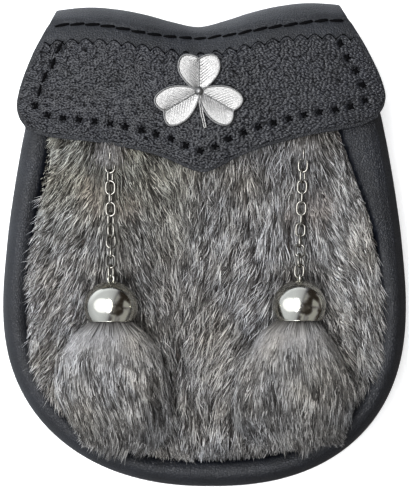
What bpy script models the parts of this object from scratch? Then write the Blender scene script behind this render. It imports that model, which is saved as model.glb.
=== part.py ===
"""Sporran pouch lying on its back, front face up.

A leather pouch with a fur front and a rolled leather border. Its flap is folded over the top and
carries a cast shamrock. Two short chains hang bells with fur tassels in them.

Metres. X runs across the pouch, Y up towards the fold of the flap and Z out of the front. The back
panel lies on z = 0, and the middle of the whole object's box is at x = y = 0.
"""

import math
import random
from typing import NamedTuple

import bmesh
import bpy
from mathutils import Matrix, Vector

MM = 0.001


def mm(*rows):
    """Rows of millimetres as rows of metres."""
    return [tuple(value * MM for value in row) for row in rows]


# Where the outline's frame lies in the object's frame, so that the box is centred.
FRAME_SHIFT = Vector((0.0, 0.55, 0.0)) * MM

# Pieces that touch keep this gap.
GAP = 0.3 * MM
LEATHER = 2.2 * MM

# Body outline. The sides are (y, half width) from the widest line up to the fold.
WIDEST_Y = -27.0 * MM
BELLY_HALF_WIDTH = 89.7 * MM
BELLY_DEPTH = 80.8 * MM
BELLY_POWER = 2.29
BELLY_LEAN_POWER = 2.0
BELLY_LEAN = 2.9 * MM
BODY_SIDE = mm(
    (-27.0, 89.7), (0.0, 87.9), (21.0, 85.2), (42.5, 81.6), (51.5, 79.8), (58.5, 78.5),
    (66.0, 76.6), (74.0, 74.0), (82.0, 70.6), (90.0, 66.7), (96.0, 63.4), (101.0, 60.4),
)  # fmt: skip
SHOULDER_Y = 51.5 * MM
SHOULDER_TOP_Y = 76.0 * MM
OUTLINE_STEPS = 60

# Back panel and its two strap slots.
BACK_THICKNESS = 2.5 * MM
BACK_INSET = 1.0 * MM
BACK_TOP_Y = 88.0 * MM
SLOT_X = 56.0 * MM
SLOT_Y = 41.0 * MM
SLOT_LENGTH = 26.0 * MM
SLOT_WIDTH = 5.0 * MM

# Gusset and border: the middle of the sheet, from the seam on the back round to the front.
GUSSET_RIBS = mm(
    # inset, z
    (7.0, 3.9), (2.2, 4.4), (0.7, 10.0), (1.1, 20.0), (2.2, 28.5), (4.7, 33.3),
    (7.8, 34.3), (11.0, 31.6), (13.2, 27.6), (17.5, 26.6),
)  # fmt: skip
GUSSET_COLUMNS = 38

# Fur panel.
HIDE_THICKNESS = 1.6 * MM
HIDE_Z = 29.0 * MM
HIDE_CROWN = 1.5 * MM
HIDE_INSET = 14.6 * MM
HIDE_TOP_Y = 70.0 * MM
HIDE_CORNER = 0.35
FUR_LOCKS = 10
FUR_ROWS = 10
FUR_ROOT = 2.3 * MM
FUR_CREST = 4.6 * MM
FUR_GROOVE = 1.2 * MM
FUR_POINT = 0.55
FUR_SPREAD = 1.4 * MM
FUR_LEAST = 0.6 * MM

# Flap, in its own frame, which is turned and moved on the body. Tables are (x, y) or (y, half width).
FLAP_TURN = math.radians(1.9)
FLAP_PIVOT = Vector((-1.6, 66.0, 0.0)) * MM
FLAP_FRONT_Z = 40.6 * MM
FLAP_DROOP = 4.0 * MM
FLAP_DROOP_AT = 88.0 * MM
FLAP_TAIL_Z = BACK_THICKNESS + GAP + LEATHER / 2
FLAP_TAIL_Y = 62.0 * MM
FLAP_TAIL_HALF_WIDTH = 59.0 * MM
FLAP_SIDE = mm(
    (52.8, 77.2), (57.5, 79.8), (62.5, 80.9), (67.5, 80.1), (74.0, 77.9), (82.5, 73.8),
    (90.0, 69.6), (95.5, 66.3), (100.0, 63.8), (105.2, 62.0),
)  # fmt: skip
FLAP_FOLD = mm(
    (0.0, 95.3), (12.0, 97.8), (23.0, 101.1), (35.0, 103.7), (48.0, 105.0), (62.0, 104.0),
    (72.0, 102.0),
)  # fmt: skip
FLAP_FOLD_TILT = 0.013
FLAP_LOWER = mm(
    (0.0, 31.4), (2.5, 31.7), (7.5, 33.7), (15.5, 37.6), (24.5, 40.8), (36.0, 43.7),
    (47.5, 46.2), (60.0, 47.9), (70.0, 49.8), (77.2, 52.8),
)  # fmt: skip
FLAP_COLUMNS = 20
FLAP_FRONT_ROWS = 4
# The roll's ribs, in degrees from the tail. The first facet behind the front carries the overlay.
ROLL_TURNS = (0, 22, 45, 68, 90, 111, 133, 154, 180)
ROLL_FACET = math.radians(ROLL_TURNS[-1] - ROLL_TURNS[-2])

# Pebbled layer on the flap with a pinked top edge. Depths are below the fold's outline.
OVERLAY_THICKNESS = 1.2 * MM
OVERLAY_INSET = 1.0 * MM
OVERLAY_DEPTHS = mm((0.0, 11.6), (25.0, 13.4), (50.0, 13.8), (72.0, 12.4))
OVERLAY_TEETH = 20
TOOTH_HEIGHT = 1.9 * MM
OVERLAY_ROWS = 5

# Shamrock badge: leaves as (turn, length, width, notch), and the stem as (x, y, half width).
BADGE_X = -2.3 * MM
BADGE_Y = 66.7 * MM
LEAVES = (
    (0.0, 16.2 * MM, 18.6 * MM, 1.6 * MM),
    (math.radians(120.0), 19.6 * MM, 16.8 * MM, 1.6 * MM),
    (math.radians(-120.0), 19.2 * MM, 16.8 * MM, 1.6 * MM),
)
LEAF_STEPS = 11
LEAF_ROOT = 1.2 * MM
LEAF_EDGE_HEIGHT = 1.6 * MM
LEAF_VEIN_HEIGHT = 1.0 * MM
LEAF_RIM_RADIUS = 0.55 * MM
LEAF_RIM_INSET = 0.45 * MM
LEAF_RIM_Z = 1.65 * MM
BOSS_RADIUS = 2.2 * MM
BOSS_HEIGHT = 3.0 * MM
STEM = mm((-0.1, -1.0, 0.9), (0.2, -5.0, 0.9), (1.0, -10.0, 1.0), (2.6, -16.0, 0.85))
STEM_HEIGHT = 1.8 * MM

# Hidden closure under the flap.
STUD_Y = 44.0 * MM
STUD_RADIUS = 6.2 * MM
FUR_UNDER_FLAP_Z = 36.0 * MM

# Bells, tassels and chains. A pendant is placed by the middle of its bell.
BELL_Z = 44.6 * MM
BELL_RADIUS = 11.8 * MM
BELL_CROWN = 11.0 * MM
BELL_WALL = 0.8 * MM
BELL_MOUTH_ANGLE = math.radians(122.0)
BELL_RINGS = 6
BELL_SIDES = 16
EYE_RADIUS = 1.5 * MM
EYE_WIRE = 0.45 * MM
EYE_RISE = 0.9 * MM

LINK_LENGTH = 6.7 * MM
LINK_WIDTH = 4.9 * MM
LINK_WIRE = 0.4 * MM
LINK_PITCH = 4.72 * MM
LINK_RINGS = 10
LINK_SIDES = 5
CHAIN_Z = 39.2 * MM
CHAIN_RISE = 18.0 * MM
CHAIN_TOP_Y = 46.0 * MM

ANCHOR_RADIUS = 4.2 * MM
ANCHOR_THICKNESS = 0.8 * MM
ANCHOR_Z = 35.4 * MM
STAPLE_HALF_WIDTH = 2.1 * MM
STAPLE_WIRE = 0.45 * MM


class Pendant(NamedTuple):
    """One chain with its bell and tassel: places, how each link is rolled, and the tassel's form.

    The tassel's middle line swings to one place where it is widest and to another at its tips.
    """

    side: str
    bell_x: float
    bell_y: float
    chain_top_x: float
    link_rolls: tuple
    swing: float
    tip_swing: float
    tassel_width: float
    tassel_length: float
    seed: int


PENDANTS = (
    Pendant("left", -40.8 * MM, -27.2 * MM, -41.6 * MM,
            (90, 0, 60, 0, 80, 0, 55, 130, 10, 90, 0, 60), 0.0 * MM, 7.5 * MM, 1.0, 1.0, 3),
    Pendant("right", 41.2 * MM, -26.8 * MM, 44.0 * MM,
            (90, -10, 60, 0, 90, 0, 90, 5, 80, 25, -40, 85), -2.4 * MM, -1.2 * MM, 0.95, 0.95, 8),
)  # fmt: skip


class Station(NamedTuple):
    """A tassel's section at a distance below the bell's mouth.

    The groove is how far the hollows between locks lie in, and the point how far the ridges hang
    lower than the hollows.
    """

    below: float
    half_width: float
    half_thickness: float
    z: float
    groove: float
    point: float


UPPER_TIER = [
    Station(*row)
    for row in mm(
        (-14.0, 5.6, 5.6, 44.6, 0.0, 0.0),
        (-10.0, 8.9, 8.9, 44.6, 0.0, 0.0),
        (0.2, 8.85, 8.85, 44.6, 0.2, 0.0),
        (3.0, 13.4, 9.9, 45.3, 1.0, 0.0),
        (10.0, 18.8, 10.9, 45.9, 1.8, 0.0),
        (18.0, 22.4, 10.9, 46.0, 2.3, 0.0),
        (26.0, 24.0, 10.6, 45.8, 2.3, 5.0),
        (27.2, 21.6, 9.2, 45.0, 0.8, 4.6),
    )
]
LOWER_TIER = [
    Station(*row)
    for row in mm(
        (42.0, 22.6, 8.6, 44.6, 2.2, 0.0),
        (51.0, 19.4, 6.6, 43.8, 2.4, 0.0),
        (52.0, 16.4, 5.4, 43.4, 0.0, 7.5),
    )
]
TASSEL_LOCKS = 10
TASSEL_HOLLOW = 3.0 * MM


class Finish(NamedTuple):
    """A material: sRGB colour, roughness and metallic value."""

    name: str
    colour: tuple
    roughness: float
    metallic: float


BLACK_LEATHER = Finish("smooth_leather", (0.055, 0.055, 0.062), 0.42, 0.0)
PEBBLED_LEATHER = Finish("pebbled_leather", (0.075, 0.075, 0.082), 0.5, 0.0)
GREY_FUR = Finish("grey_fur", (0.42, 0.39, 0.37), 0.8, 0.0)
CHROME = Finish("chrome", (0.80, 0.80, 0.80), 0.08, 1.0)
CAST_SILVER = Finish("cast_silver", (0.86, 0.86, 0.84), 0.3, 1.0)


# ---------------------------------------------------------------- shapes from named sizes


def smoothstep(low, high, value):
    """0 at low, 1 at high, with level ends."""
    t = min(max((value - low) / (high - low), 0.0), 1.0)
    return t * t * (3 - 2 * t)


def along_table(table, at):
    """The value at a place of the smooth curve through a table's (place, value) rows.

    The curve starts level, as at a line of symmetry or at the widest line.
    """
    last = len(table) - 1
    i = 0
    while i < last - 1 and at > table[i + 1][0]:
        i += 1

    def slope(k):
        if k == 0:
            return 0.0
        before, after = table[k - 1], table[min(k + 1, last)]
        return (after[1] - before[1]) / (after[0] - before[0])

    (x0, y0), (x1, y1) = table[i], table[i + 1]
    width = x1 - x0
    t = (at - x0) / width
    if t > 1:
        return y1 + slope(i + 1) * (at - x1)
    rise = (1 + 2 * t) * (1 - t) ** 2 * y0 + t * t * (3 - 2 * t) * y1
    return rise + width * (t * (1 - t) ** 2 * slope(i) - t * t * (1 - t) * slope(i + 1))


def flap_centre_x(y):
    """Where the turned flap's middle line is on the body."""
    return FLAP_PIVOT.x - (y - FLAP_PIVOT.y) * math.tan(FLAP_TURN)


def body_middle(y):
    """X of the body's middle: it leans right at the bottom and follows the flap at the top."""
    if y < WIDEST_Y:
        return BELLY_LEAN * ((WIDEST_Y - y) / BELLY_DEPTH) ** BELLY_LEAN_POWER
    return smoothstep(SHOULDER_Y, SHOULDER_TOP_Y, y) * flap_centre_x(y)


def body_outline():
    """The body's outline from the left shoulder down round the belly to the right shoulder."""
    top = BODY_SIDE[-1][0]
    half = []
    for i in range(OUTLINE_STEPS):
        y = top + (WIDEST_Y - top) * i / OUTLINE_STEPS
        half.append(Vector((along_table(BODY_SIDE, y), y)))
    for i in range(OUTLINE_STEPS + 1):
        turn = math.pi / 2 * i / OUTLINE_STEPS
        x = BELLY_HALF_WIDTH * max(math.cos(turn), 0.0) ** (2 / BELLY_POWER)
        y = WIDEST_Y - BELLY_DEPTH * math.sin(turn) ** (2 / BELLY_POWER)
        half.append(Vector((x, y)))
    left = [Vector((-p.x, p.y)) for p in half[:-1]]
    points = left + half[::-1]
    return [Vector((p.x + body_middle(p.y), p.y)) for p in points]


def inset_by(points, distance):
    """An open outline moved towards its left, which is inwards here."""
    moved = []
    for i, point in enumerate(points):
        ahead = points[min(i + 1, len(points) - 1)] - points[max(i - 1, 0)]
        inwards = Vector((-ahead.y, ahead.x)).normalized()
        moved.append(point + inwards * distance)
    return moved


def cut_above(points, top):
    """The part of an open outline that lies below a height, ending on it."""
    inside = [i for i, p in enumerate(points) if p.y <= top]
    first, last = inside[0], inside[-1]

    def crossing(high, low):
        return low.lerp(high, (top - low.y) / (high.y - low.y))

    kept = points[first : last + 1]
    if first > 0:
        kept.insert(0, crossing(points[first - 1], points[first]))
    if last < len(points) - 1:
        kept.append(crossing(points[last + 1], points[last]))
    return kept


def lengths_along(points):
    """The distance of each point from the first, along the line."""
    total = [0.0]
    for a, b in zip(points, points[1:]):
        total.append(total[-1] + (b - a).length)
    return total


def point_at(points, lengths, distance):
    """The point of a line at a distance from its start."""
    i = 0
    while i < len(points) - 2 and lengths[i + 1] < distance:
        i += 1
    step = lengths[i + 1] - lengths[i]
    return points[i].lerp(points[i + 1], min(max((distance - lengths[i]) / step, 0.0), 1.0))


class Line:
    """An open line that is read by the share of its length."""

    def __init__(self, points):
        self.points = points
        self.lengths = lengths_along(points)

    def at(self, share):
        return point_at(self.points, self.lengths, share * self.lengths[-1])


# ---------------------------------------------------------------- scene and mesh helpers


def clear_scene():
    for obj in list(bpy.data.objects):
        bpy.data.objects.remove(obj, do_unlink=True)


def new_collection(name):
    collection = bpy.data.collections.new(name)
    bpy.context.scene.collection.children.link(collection)
    return collection


def linear(value):
    """One sRGB channel as a linear value."""
    return value / 12.92 if value <= 0.04045 else ((value + 0.055) / 1.055) ** 2.4


def material_of(finish):
    material = bpy.data.materials.get(finish.name)
    if material:
        return material
    material = bpy.data.materials.new(finish.name)
    material.use_nodes = True
    shader = material.node_tree.nodes["Principled BSDF"]
    shader.inputs["Base Color"].default_value = (*map(linear, finish.colour), 1.0)
    shader.inputs["Roughness"].default_value = finish.roughness
    shader.inputs["Metallic"].default_value = finish.metallic
    return material


class Workshop:
    """Makes the objects and keeps them in their collections under one empty."""

    def __init__(self):
        self.pieces = new_collection("sporran_pouch")
        self.helpers = new_collection("joined_shapes")
        self.root = self.empty("sporran", Matrix.Translation(FRAME_SHIFT))

    def empty(self, name, matrix, parent=None):
        empty = bpy.data.objects.new(name, None)
        self.pieces.objects.link(empty)
        empty.parent = parent
        empty.matrix_basis = matrix
        return empty

    def piece(self, name, mesh, finish, parent=None, matrix=None, smooth_angle=40.0):
        """A named object that is part of the model."""
        mesh.name = name
        obj = bpy.data.objects.new(name, mesh)
        self.pieces.objects.link(obj)
        obj.parent = parent or self.root
        obj.matrix_basis = matrix or Matrix.Identity(4)
        mesh.materials.clear()
        mesh.materials.append(material_of(finish))
        mesh.shade_smooth()
        mesh.set_sharp_from_angle(angle=math.radians(smooth_angle))
        return obj

    def helper(self, name, mesh, parent, matrix=None):
        """A shape that is joined to a piece and isn't one itself."""
        obj = bpy.data.objects.new(name, mesh)
        self.helpers.objects.link(obj)
        obj.parent = parent
        obj.matrix_basis = matrix or Matrix.Identity(4)
        obj.hide_render = True
        obj.display_type = "WIRE"
        return obj

    @staticmethod
    def join(obj, *shapes):
        for shape in shapes:
            union = obj.modifiers.new("with_" + shape.name, "BOOLEAN")
            union.operation = "UNION"
            union.solver = "EXACT"
            union.object = shape


def mesh_from(bm, name, in_triangles=False):
    """A mesh of the shape, facing out. Locks are cut along the shorter diagonals."""
    mesh = bpy.data.meshes.new(name)
    if in_triangles:
        bmesh.ops.triangulate(bm, faces=bm.faces, quad_method="SHORT_EDGE")
    bmesh.ops.recalc_face_normals(bm, faces=bm.faces)
    bm.to_mesh(mesh)
    bm.free()
    return mesh


def formed_grid(bm, columns, rows, place):
    """A grid whose points are placed by a function of the shares across and along it."""
    made = bmesh.ops.create_grid(bm, x_segments=columns, y_segments=rows, size=0.5)
    for vert in made["verts"]:
        vert.co = place(vert.co.x + 0.5, vert.co.y + 0.5)


def sheet_mesh(name, columns, rows, place):
    """An open surface, which takes its thickness from Solidify."""
    bm = bmesh.new()
    formed_grid(bm, columns, rows, place)
    return mesh_from(bm, name)


def slab_mesh(name, columns, rows, lower, upper):
    """A closed body between two formed grids."""
    bm = bmesh.new()
    formed_grid(bm, columns, rows, lower)
    formed_grid(bm, columns, rows, upper)
    rims = [edge for edge in bm.edges if edge.is_boundary]
    bmesh.ops.bridge_loops(bm, edges=rims)
    return mesh_from(bm, name, in_triangles=True)


def loft_mesh(name, rings, hollow_end=None):
    """A closed body through rings of points. Its start is flat, and its end may close inwards."""
    bm = bmesh.new()
    made = [[bm.verts.new(point) for point in ring] for ring in rings]
    for ring, following in zip(made, made[1:]):
        for i in range(len(ring)):
            j = (i + 1) % len(ring)
            bm.faces.new((ring[i], ring[j], following[j], following[i]))
    bm.faces.new(made[0][::-1])
    if hollow_end is None:
        bm.faces.new(made[-1])
    else:
        middle = bm.verts.new(hollow_end)
        for i, vert in enumerate(made[-1]):
            bm.faces.new((vert, made[-1][(i + 1) % len(made[-1])], middle))
    return mesh_from(bm, name, in_triangles=hollow_end is not None)


def thicken(obj, thickness):
    solid = obj.modifiers.new("thickness", "SOLIDIFY")
    solid.thickness = thickness
    solid.offset = 0.0
    solid.use_even_offset = True


def mesh_of_curve(curve, name):
    """A curve as a welded mesh, so that it can be joined to others."""
    obj = bpy.data.objects.new(name, curve)
    bpy.context.scene.collection.objects.link(obj)
    graph = bpy.context.evaluated_depsgraph_get()
    mesh = bpy.data.meshes.new_from_object(obj.evaluated_get(graph))
    bpy.data.objects.remove(obj)
    bm = bmesh.new()
    bm.from_mesh(mesh)
    bmesh.ops.remove_doubles(bm, verts=bm.verts, dist=1e-6)
    bmesh.ops.recalc_face_normals(bm, faces=bm.faces)
    bm.to_mesh(mesh)
    bm.free()
    return mesh


def wire_mesh(name, points, radius):
    """A round wire through points, six sides round."""
    curve = bpy.data.curves.new(name, "CURVE")
    curve.dimensions = "3D"
    curve.bevel_depth = radius
    curve.bevel_resolution = 1
    curve.use_fill_caps = True
    spline = curve.splines.new("POLY")
    spline.points.add(len(points) - 1)
    for spot, point in zip(spline.points, points):
        spot.co = (*point, 1.0)
    return mesh_of_curve(curve, name)


# ---------------------------------------------------------------- pouch


def slot_points(x, y, length, width, arc_steps=6):
    """A slot with round ends, long along Y."""
    radius, reach = width / 2, (length - width) / 2
    points = []
    for end, start in ((1, 0.0), (-1, math.pi)):
        for i in range(arc_steps + 1):
            turn = start + math.pi * i / arc_steps
            points.append((x + radius * math.cos(turn), y + end * reach + radius * math.sin(turn)))
    return points


def back_panel(shop):
    """The flat back: the body's outline filled as a 2D curve, with the slots as holes."""
    curve = bpy.data.curves.new("back_panel", "CURVE")
    curve.dimensions = "2D"
    curve.fill_mode = "BOTH"
    curve.extrude = BACK_THICKNESS / 2
    edge = Line(cut_above(inset_by(body_outline(), BACK_INSET), BACK_TOP_Y))
    steps = 48
    outline = [edge.at(i / steps) for i in range(steps + 1)]
    slots = [slot_points(side * SLOT_X, SLOT_Y, SLOT_LENGTH, SLOT_WIDTH) for side in (-1, 1)]
    for points in (outline, *slots):
        spline = curve.splines.new("POLY")
        spline.points.add(len(points) - 1)
        spline.use_cyclic_u = True
        for spot, (x, y) in zip(spline.points, points):
            spot.co = (x, y, 0.0, 1.0)
    place = Matrix.Translation((0, 0, BACK_THICKNESS / 2))
    shop.piece("back_panel", mesh_of_curve(curve, "back_panel"), BLACK_LEATHER, matrix=place)


def gusset_reach(z):
    """How high the gusset goes at a height over the back, to stay inside the flap's roll."""
    middle = (FLAP_FRONT_Z - FLAP_DROOP / 2 + FLAP_TAIL_Z) / 2
    radius = 15.0 * MM
    start = 84.3 * MM
    across = abs(z - middle) + LEATHER / 2
    return start + math.sqrt(max(radius**2 - across**2, 0.0))


def gusset_border(shop):
    """One strip round the body: sewn to the back, up the side and rolled over the front edge."""
    outline = body_outline()
    ribs = [Line(cut_above(inset_by(outline, inset), gusset_reach(z))) for inset, z in GUSSET_RIBS]

    def place(u, v):
        k = round(v * (len(ribs) - 1))
        point = ribs[k].at(u)
        return Vector((point.x, point.y, GUSSET_RIBS[k][1]))

    mesh = sheet_mesh("gusset_border", GUSSET_COLUMNS, len(ribs) - 1, place)
    thicken(shop.piece("gusset_border", mesh, BLACK_LEATHER), LEATHER)


class HidePatch:
    """The fur panel's surface: a patch between its left, lower, right and top edges."""

    def __init__(self, inset):
        edge = Line(cut_above(inset_by(body_outline(), inset), HIDE_TOP_Y))
        self.edge = edge

    def at(self, u, v):
        """The point a share u across and v down the patch."""
        edge, corner = self.edge, HIDE_CORNER
        left, right = edge.at(corner * v), edge.at(1 - corner * v)
        low = edge.at(corner + (1 - 2 * corner) * u)
        top = edge.at(0).lerp(edge.at(1), u)
        corners = edge.at(0).lerp(edge.at(1), u).lerp(edge.at(corner).lerp(edge.at(1 - corner), u), v)
        return left.lerp(right, u) + top.lerp(low, v) - corners


def fur_ceiling(x, y):
    """The highest that the fur may stand, where something lies on it."""
    ceiling = 1.0
    in_flap = FLAP_PIVOT.y + (y - FLAP_PIVOT.y) - (x - FLAP_PIVOT.x) * math.tan(FLAP_TURN)
    if in_flap > along_table(FLAP_LOWER, min(abs(x - FLAP_PIVOT.x), 76 * MM)) - 8 * MM:
        ceiling = FUR_UNDER_FLAP_Z
    for pendant in PENDANTS:
        beside = abs(x - pendant.bell_x)
        above = y - pendant.bell_y
        if beside < 18 * MM and -72 * MM < above < -6 * MM:
            ceiling = min(ceiling, 34.3 * MM)
        if beside < 16 * MM and -14 * MM < above < 14 * MM:
            ceiling = min(ceiling, 32.4 * MM)
        if Vector((x - pendant.chain_top_x, y - CHAIN_TOP_Y)).length < 15 * MM:
            ceiling = min(ceiling, ANCHOR_Z - GAP - 0.2 * MM)
    return ceiling


def fur_panel(shop):
    """The hide with its fur: rows of locks that rise to a crest and drop to the next row's roots."""
    under, over = HidePatch(HIDE_INSET), HidePatch(HIDE_INSET - FUR_SPREAD)
    columns, rows = 2 * FUR_LOCKS, 2 * FUR_ROWS
    wild = random.Random(11)
    lift = {(i, k): wild.uniform(-0.5, 0.5) * MM for i in range(columns + 1) for k in range(rows + 1)}

    def hide_z(u, v):
        return HIDE_Z + HIDE_CROWN * math.sin(math.pi * u) * math.sin(math.pi * min(v, 0.98))

    def lower(u, v):
        point = under.at(u, 1 - v)
        return Vector((point.x, point.y, hide_z(u, v)))

    def upper(u, v):
        i, k = round(u * columns), rows - round(v * rows)
        row, at_crest = k // 2, k % 2 == 1
        on_ridge = (i + row) % 2 == 1
        down = k / rows
        if 0 < k < rows:
            down += (FUR_POINT if on_ridge else 0.1) * (0.9 if at_crest else 0.6) / rows
        point = over.at(u, min(down, 1.0))
        rise = FUR_CREST if at_crest else FUR_ROOT
        rise += lift[i, k] - (0.0 if on_ridge else FUR_GROOVE)
        base = hide_z(u, v) + HIDE_THICKNESS
        top = min(base + rise, fur_ceiling(point.x, point.y))
        return Vector((point.x, point.y, max(top, base + FUR_LEAST)))

    mesh = slab_mesh("fur_panel", columns, rows, lower, upper)
    shop.piece("fur_panel", mesh, GREY_FUR, smooth_angle=25)


# ---------------------------------------------------------------- flap


def flap_front_z(x):
    return FLAP_FRONT_Z - FLAP_DROOP * (x / FLAP_DROOP_AT) ** 2


def fold_radius(x):
    return (flap_front_z(x) - FLAP_TAIL_Z) / 2


def fold_y(x):
    """The top of the roll: two humps, the right one a little lower, and a dip between them."""
    return along_table(FLAP_FOLD, abs(x)) - FLAP_FOLD_TILT * x


def fold_start_y(x):
    """Where the front turns into the roll over the top."""
    return fold_y(x) - fold_radius(x)


def flap_z(x, y, lift):
    """Height of a surface a lift above the middle of the flap's front and its first facet."""
    past = y - fold_start_y(x)
    tilt = ROLL_FACET / 2
    return flap_front_z(x) + min(lift, lift / math.cos(tilt) - past * math.tan(tilt))


def flap_frame(shop):
    turn = Matrix.Rotation(FLAP_TURN, 4, "Z")
    place = Matrix.Translation(FLAP_PIVOT) @ turn @ Matrix.Translation((0, -FLAP_PIVOT.y, 0))
    return shop.empty("flap_frame", place, shop.root)


def flap(shop, frame):
    """One sheet: tail inside the back, roll over the top and front down to the pointed edge."""
    side_start = FLAP_SIDE[0][0]
    widest_fold = along_table(FLAP_SIDE, fold_start_y(70 * MM))
    side_fold = fold_start_y(widest_fold)
    ribs = len(ROLL_TURNS)
    rows = ribs + FLAP_FRONT_ROWS

    def place(u, v):
        across, k = 2 * u - 1, round(v * rows)
        if k == 0:
            return Vector((across * FLAP_TAIL_HALF_WIDTH, FLAP_TAIL_Y, FLAP_TAIL_Z))
        if k <= ribs:
            turn = math.radians(ROLL_TURNS[k - 1])
            reach = math.sin(turn)
            edge = along_table(FLAP_FOLD, 62 * MM) - (1 - reach) * fold_radius(66 * MM)
            front = along_table(FLAP_SIDE, edge)
            tail = min(FLAP_TAIL_HALF_WIDTH + 3 * MM * reach, front)
            x = across * (front if turn > math.pi / 2 else tail)
            radius = fold_radius(x)
            z = FLAP_TAIL_Z + radius * (1 - math.cos(turn))
            return Vector((x, fold_start_y(x) + radius * reach, z))
        t = (k - ribs) / FLAP_FRONT_ROWS
        x = across * along_table(FLAP_SIDE, side_fold + (side_start - side_fold) * t)
        low = along_table(FLAP_LOWER, abs(across) * FLAP_LOWER[-1][0])
        y = fold_start_y(x) + (low - fold_start_y(x)) * t
        return Vector((x, y, flap_z(x, y, 0.0)))

    thicken(shop.piece("flap", sheet_mesh("flap", FLAP_COLUMNS, rows, place), BLACK_LEATHER, frame), LEATHER)


def overlay_top_y(x, on_crest):
    """The pinked edge: crests and troughs at a depth below the fold's outline."""
    depth = along_table(OVERLAY_DEPTHS, abs(x))
    return fold_y(x) - depth - (0.0 if on_crest else TOOTH_HEIGHT)


def flap_overlay(shop, frame):
    """The pebbled layer: the flap's own outline, a little inside it, with teeth along its top."""
    lift = LEATHER / 2 + GAP + OVERLAY_THICKNESS / 2
    bend = lift * math.tan(ROLL_FACET / 4)
    side_top, side_bend, side_low = 91.5 * MM, 87.2 * MM, FLAP_SIDE[0][0]
    columns = 2 * OVERLAY_TEETH

    def place(u, v):
        across, k = 2 * u - 1, OVERLAY_ROWS - round(v * OVERLAY_ROWS)
        t = (k - 1) / (OVERLAY_ROWS - 1)
        side = side_top if k == 0 else side_bend + (side_low - side_bend) * t
        x = across * (along_table(FLAP_SIDE, side) - OVERLAY_INSET)
        if k == 0:
            y = overlay_top_y(x, on_crest=round(u * columns) % 2 == 1)
        else:
            start = fold_start_y(x) + bend
            low = along_table(FLAP_LOWER, abs(across) * FLAP_LOWER[-1][0]) + OVERLAY_INSET
            y = start + (low - start) * t
        return Vector((x, y, flap_z(x, y, lift)))

    mesh = sheet_mesh("flap_overlay", columns, OVERLAY_ROWS, place)
    thicken(shop.piece("flap_overlay", mesh, PEBBLED_LEATHER, frame), OVERLAY_THICKNESS)


# ---------------------------------------------------------------- badge and stud


def bezier(points, steps):
    """Points along a cubic curve, without its last one."""
    a, b, c, d = points
    made = []
    for i in range(steps):
        t = i / steps
        s = 1 - t
        made.append(a * s**3 + b * 3 * s * s * t + c * 3 * s * t * t + d * t**3)
    return made


def leaf_half(length, width, notch):
    """Half of a heart, from its base past the badge's middle round a lobe to the notch."""
    w = width / 2
    base, widest = Vector((0, -LEAF_ROOT)), Vector((w, length * 0.68))
    lobe, dip = Vector((w * 0.54, length)), Vector((0, length - notch))
    lower = (base, Vector((w * 0.42, length * 0.12)), Vector((w, length * 0.38)), widest)
    upper = (widest, Vector((w, length * 0.88)), Vector((w * 0.84, length)), lobe)
    inner = (lobe, Vector((w * 0.28, length)), Vector((w * 0.1, length - notch * 0.75)), dip)
    flank = LEAF_STEPS - 6
    return bezier(lower, flank) + bezier(upper, 3) + bezier(inner, 3) + [dip]


def leaf_mesh(name, edge):
    """A leaf whose two halves slope to a middle vein: one half as a welded grid, then mirrored."""
    last = len(edge) - 1

    def place(u, v):
        i, k = round(u * last), round(v * 3)
        tip = i in (0, last)
        point = edge[0].lerp(edge[last], u) if k in (0, 3) else edge[i]
        top = LEAF_VEIN_HEIGHT if tip or k == 3 else LEAF_EDGE_HEIGHT
        return Vector((point.x, point.y, 0.0 if k < 2 else top))

    bm = bmesh.new()
    formed_grid(bm, last, 3, place)
    bmesh.ops.remove_doubles(bm, verts=bm.verts, dist=1e-6)
    bmesh.ops.mirror(bm, geom=bm.verts[:] + bm.edges[:] + bm.faces[:], axis="X", merge_dist=1e-6)
    bmesh.ops.remove_doubles(bm, verts=bm.verts, dist=1e-6)
    return mesh_from(bm, name)


def leaf_rim_mesh(name, edge):
    """The raised rim of a leaf, a round bead along its outline."""
    moved = inset_by(edge, LEAF_RIM_INSET)
    moved[-1] = Vector((0.0, edge[-1].y - LEAF_RIM_INSET * 1.3))
    side = [Vector((p.x, p.y, LEAF_RIM_Z)) for p in moved[1:]]
    return wire_mesh(name, side + [Vector((-p.x, p.y, p.z)) for p in side[-2::-1]], LEAF_RIM_RADIUS)


def stem_mesh():
    """The stem: a bar with a ridge along it, bent to one side."""
    rings = []
    for k, (x, y, half) in enumerate(STEM):
        before, after = STEM[max(k - 1, 0)], STEM[min(k + 1, len(STEM) - 1)]
        ahead = Vector((after[0] - before[0], after[1] - before[1])).normalized()
        side = Vector((-ahead.y, ahead.x)) * half
        rings.append(
            [
                Vector((x - side.x, y - side.y, 0.0)),
                Vector((x + side.x, y + side.y, 0.0)),
                Vector((x + side.x, y + side.y, STEM_HEIGHT * 0.6)),
                Vector((x + side.x * 0.45, y + side.y * 0.45, STEM_HEIGHT)),
                Vector((x - side.x * 0.45, y - side.y * 0.45, STEM_HEIGHT)),
                Vector((x - side.x, y - side.y, STEM_HEIGHT * 0.6)),
            ]
        )
    return loft_mesh("stem", rings)


def dome_mesh(name, radius, height, sides=12):
    """A low round boss on a flat foot."""
    bm = bmesh.new()
    bmesh.ops.create_uvsphere(bm, u_segments=sides, v_segments=8, radius=radius)
    bmesh.ops.bisect_plane(
        bm, geom=bm.verts[:] + bm.edges[:] + bm.faces[:], dist=1e-6,
        plane_co=(0, 0, 0), plane_no=(0, 0, -1), clear_outer=True,
    )  # fmt: skip
    bmesh.ops.holes_fill(bm, edges=[edge for edge in bm.edges if edge.is_boundary])
    for vert in bm.verts:
        vert.co.z = vert.co.z * height / radius + 0.02 * MM
    return mesh_from(bm, name)


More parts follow.
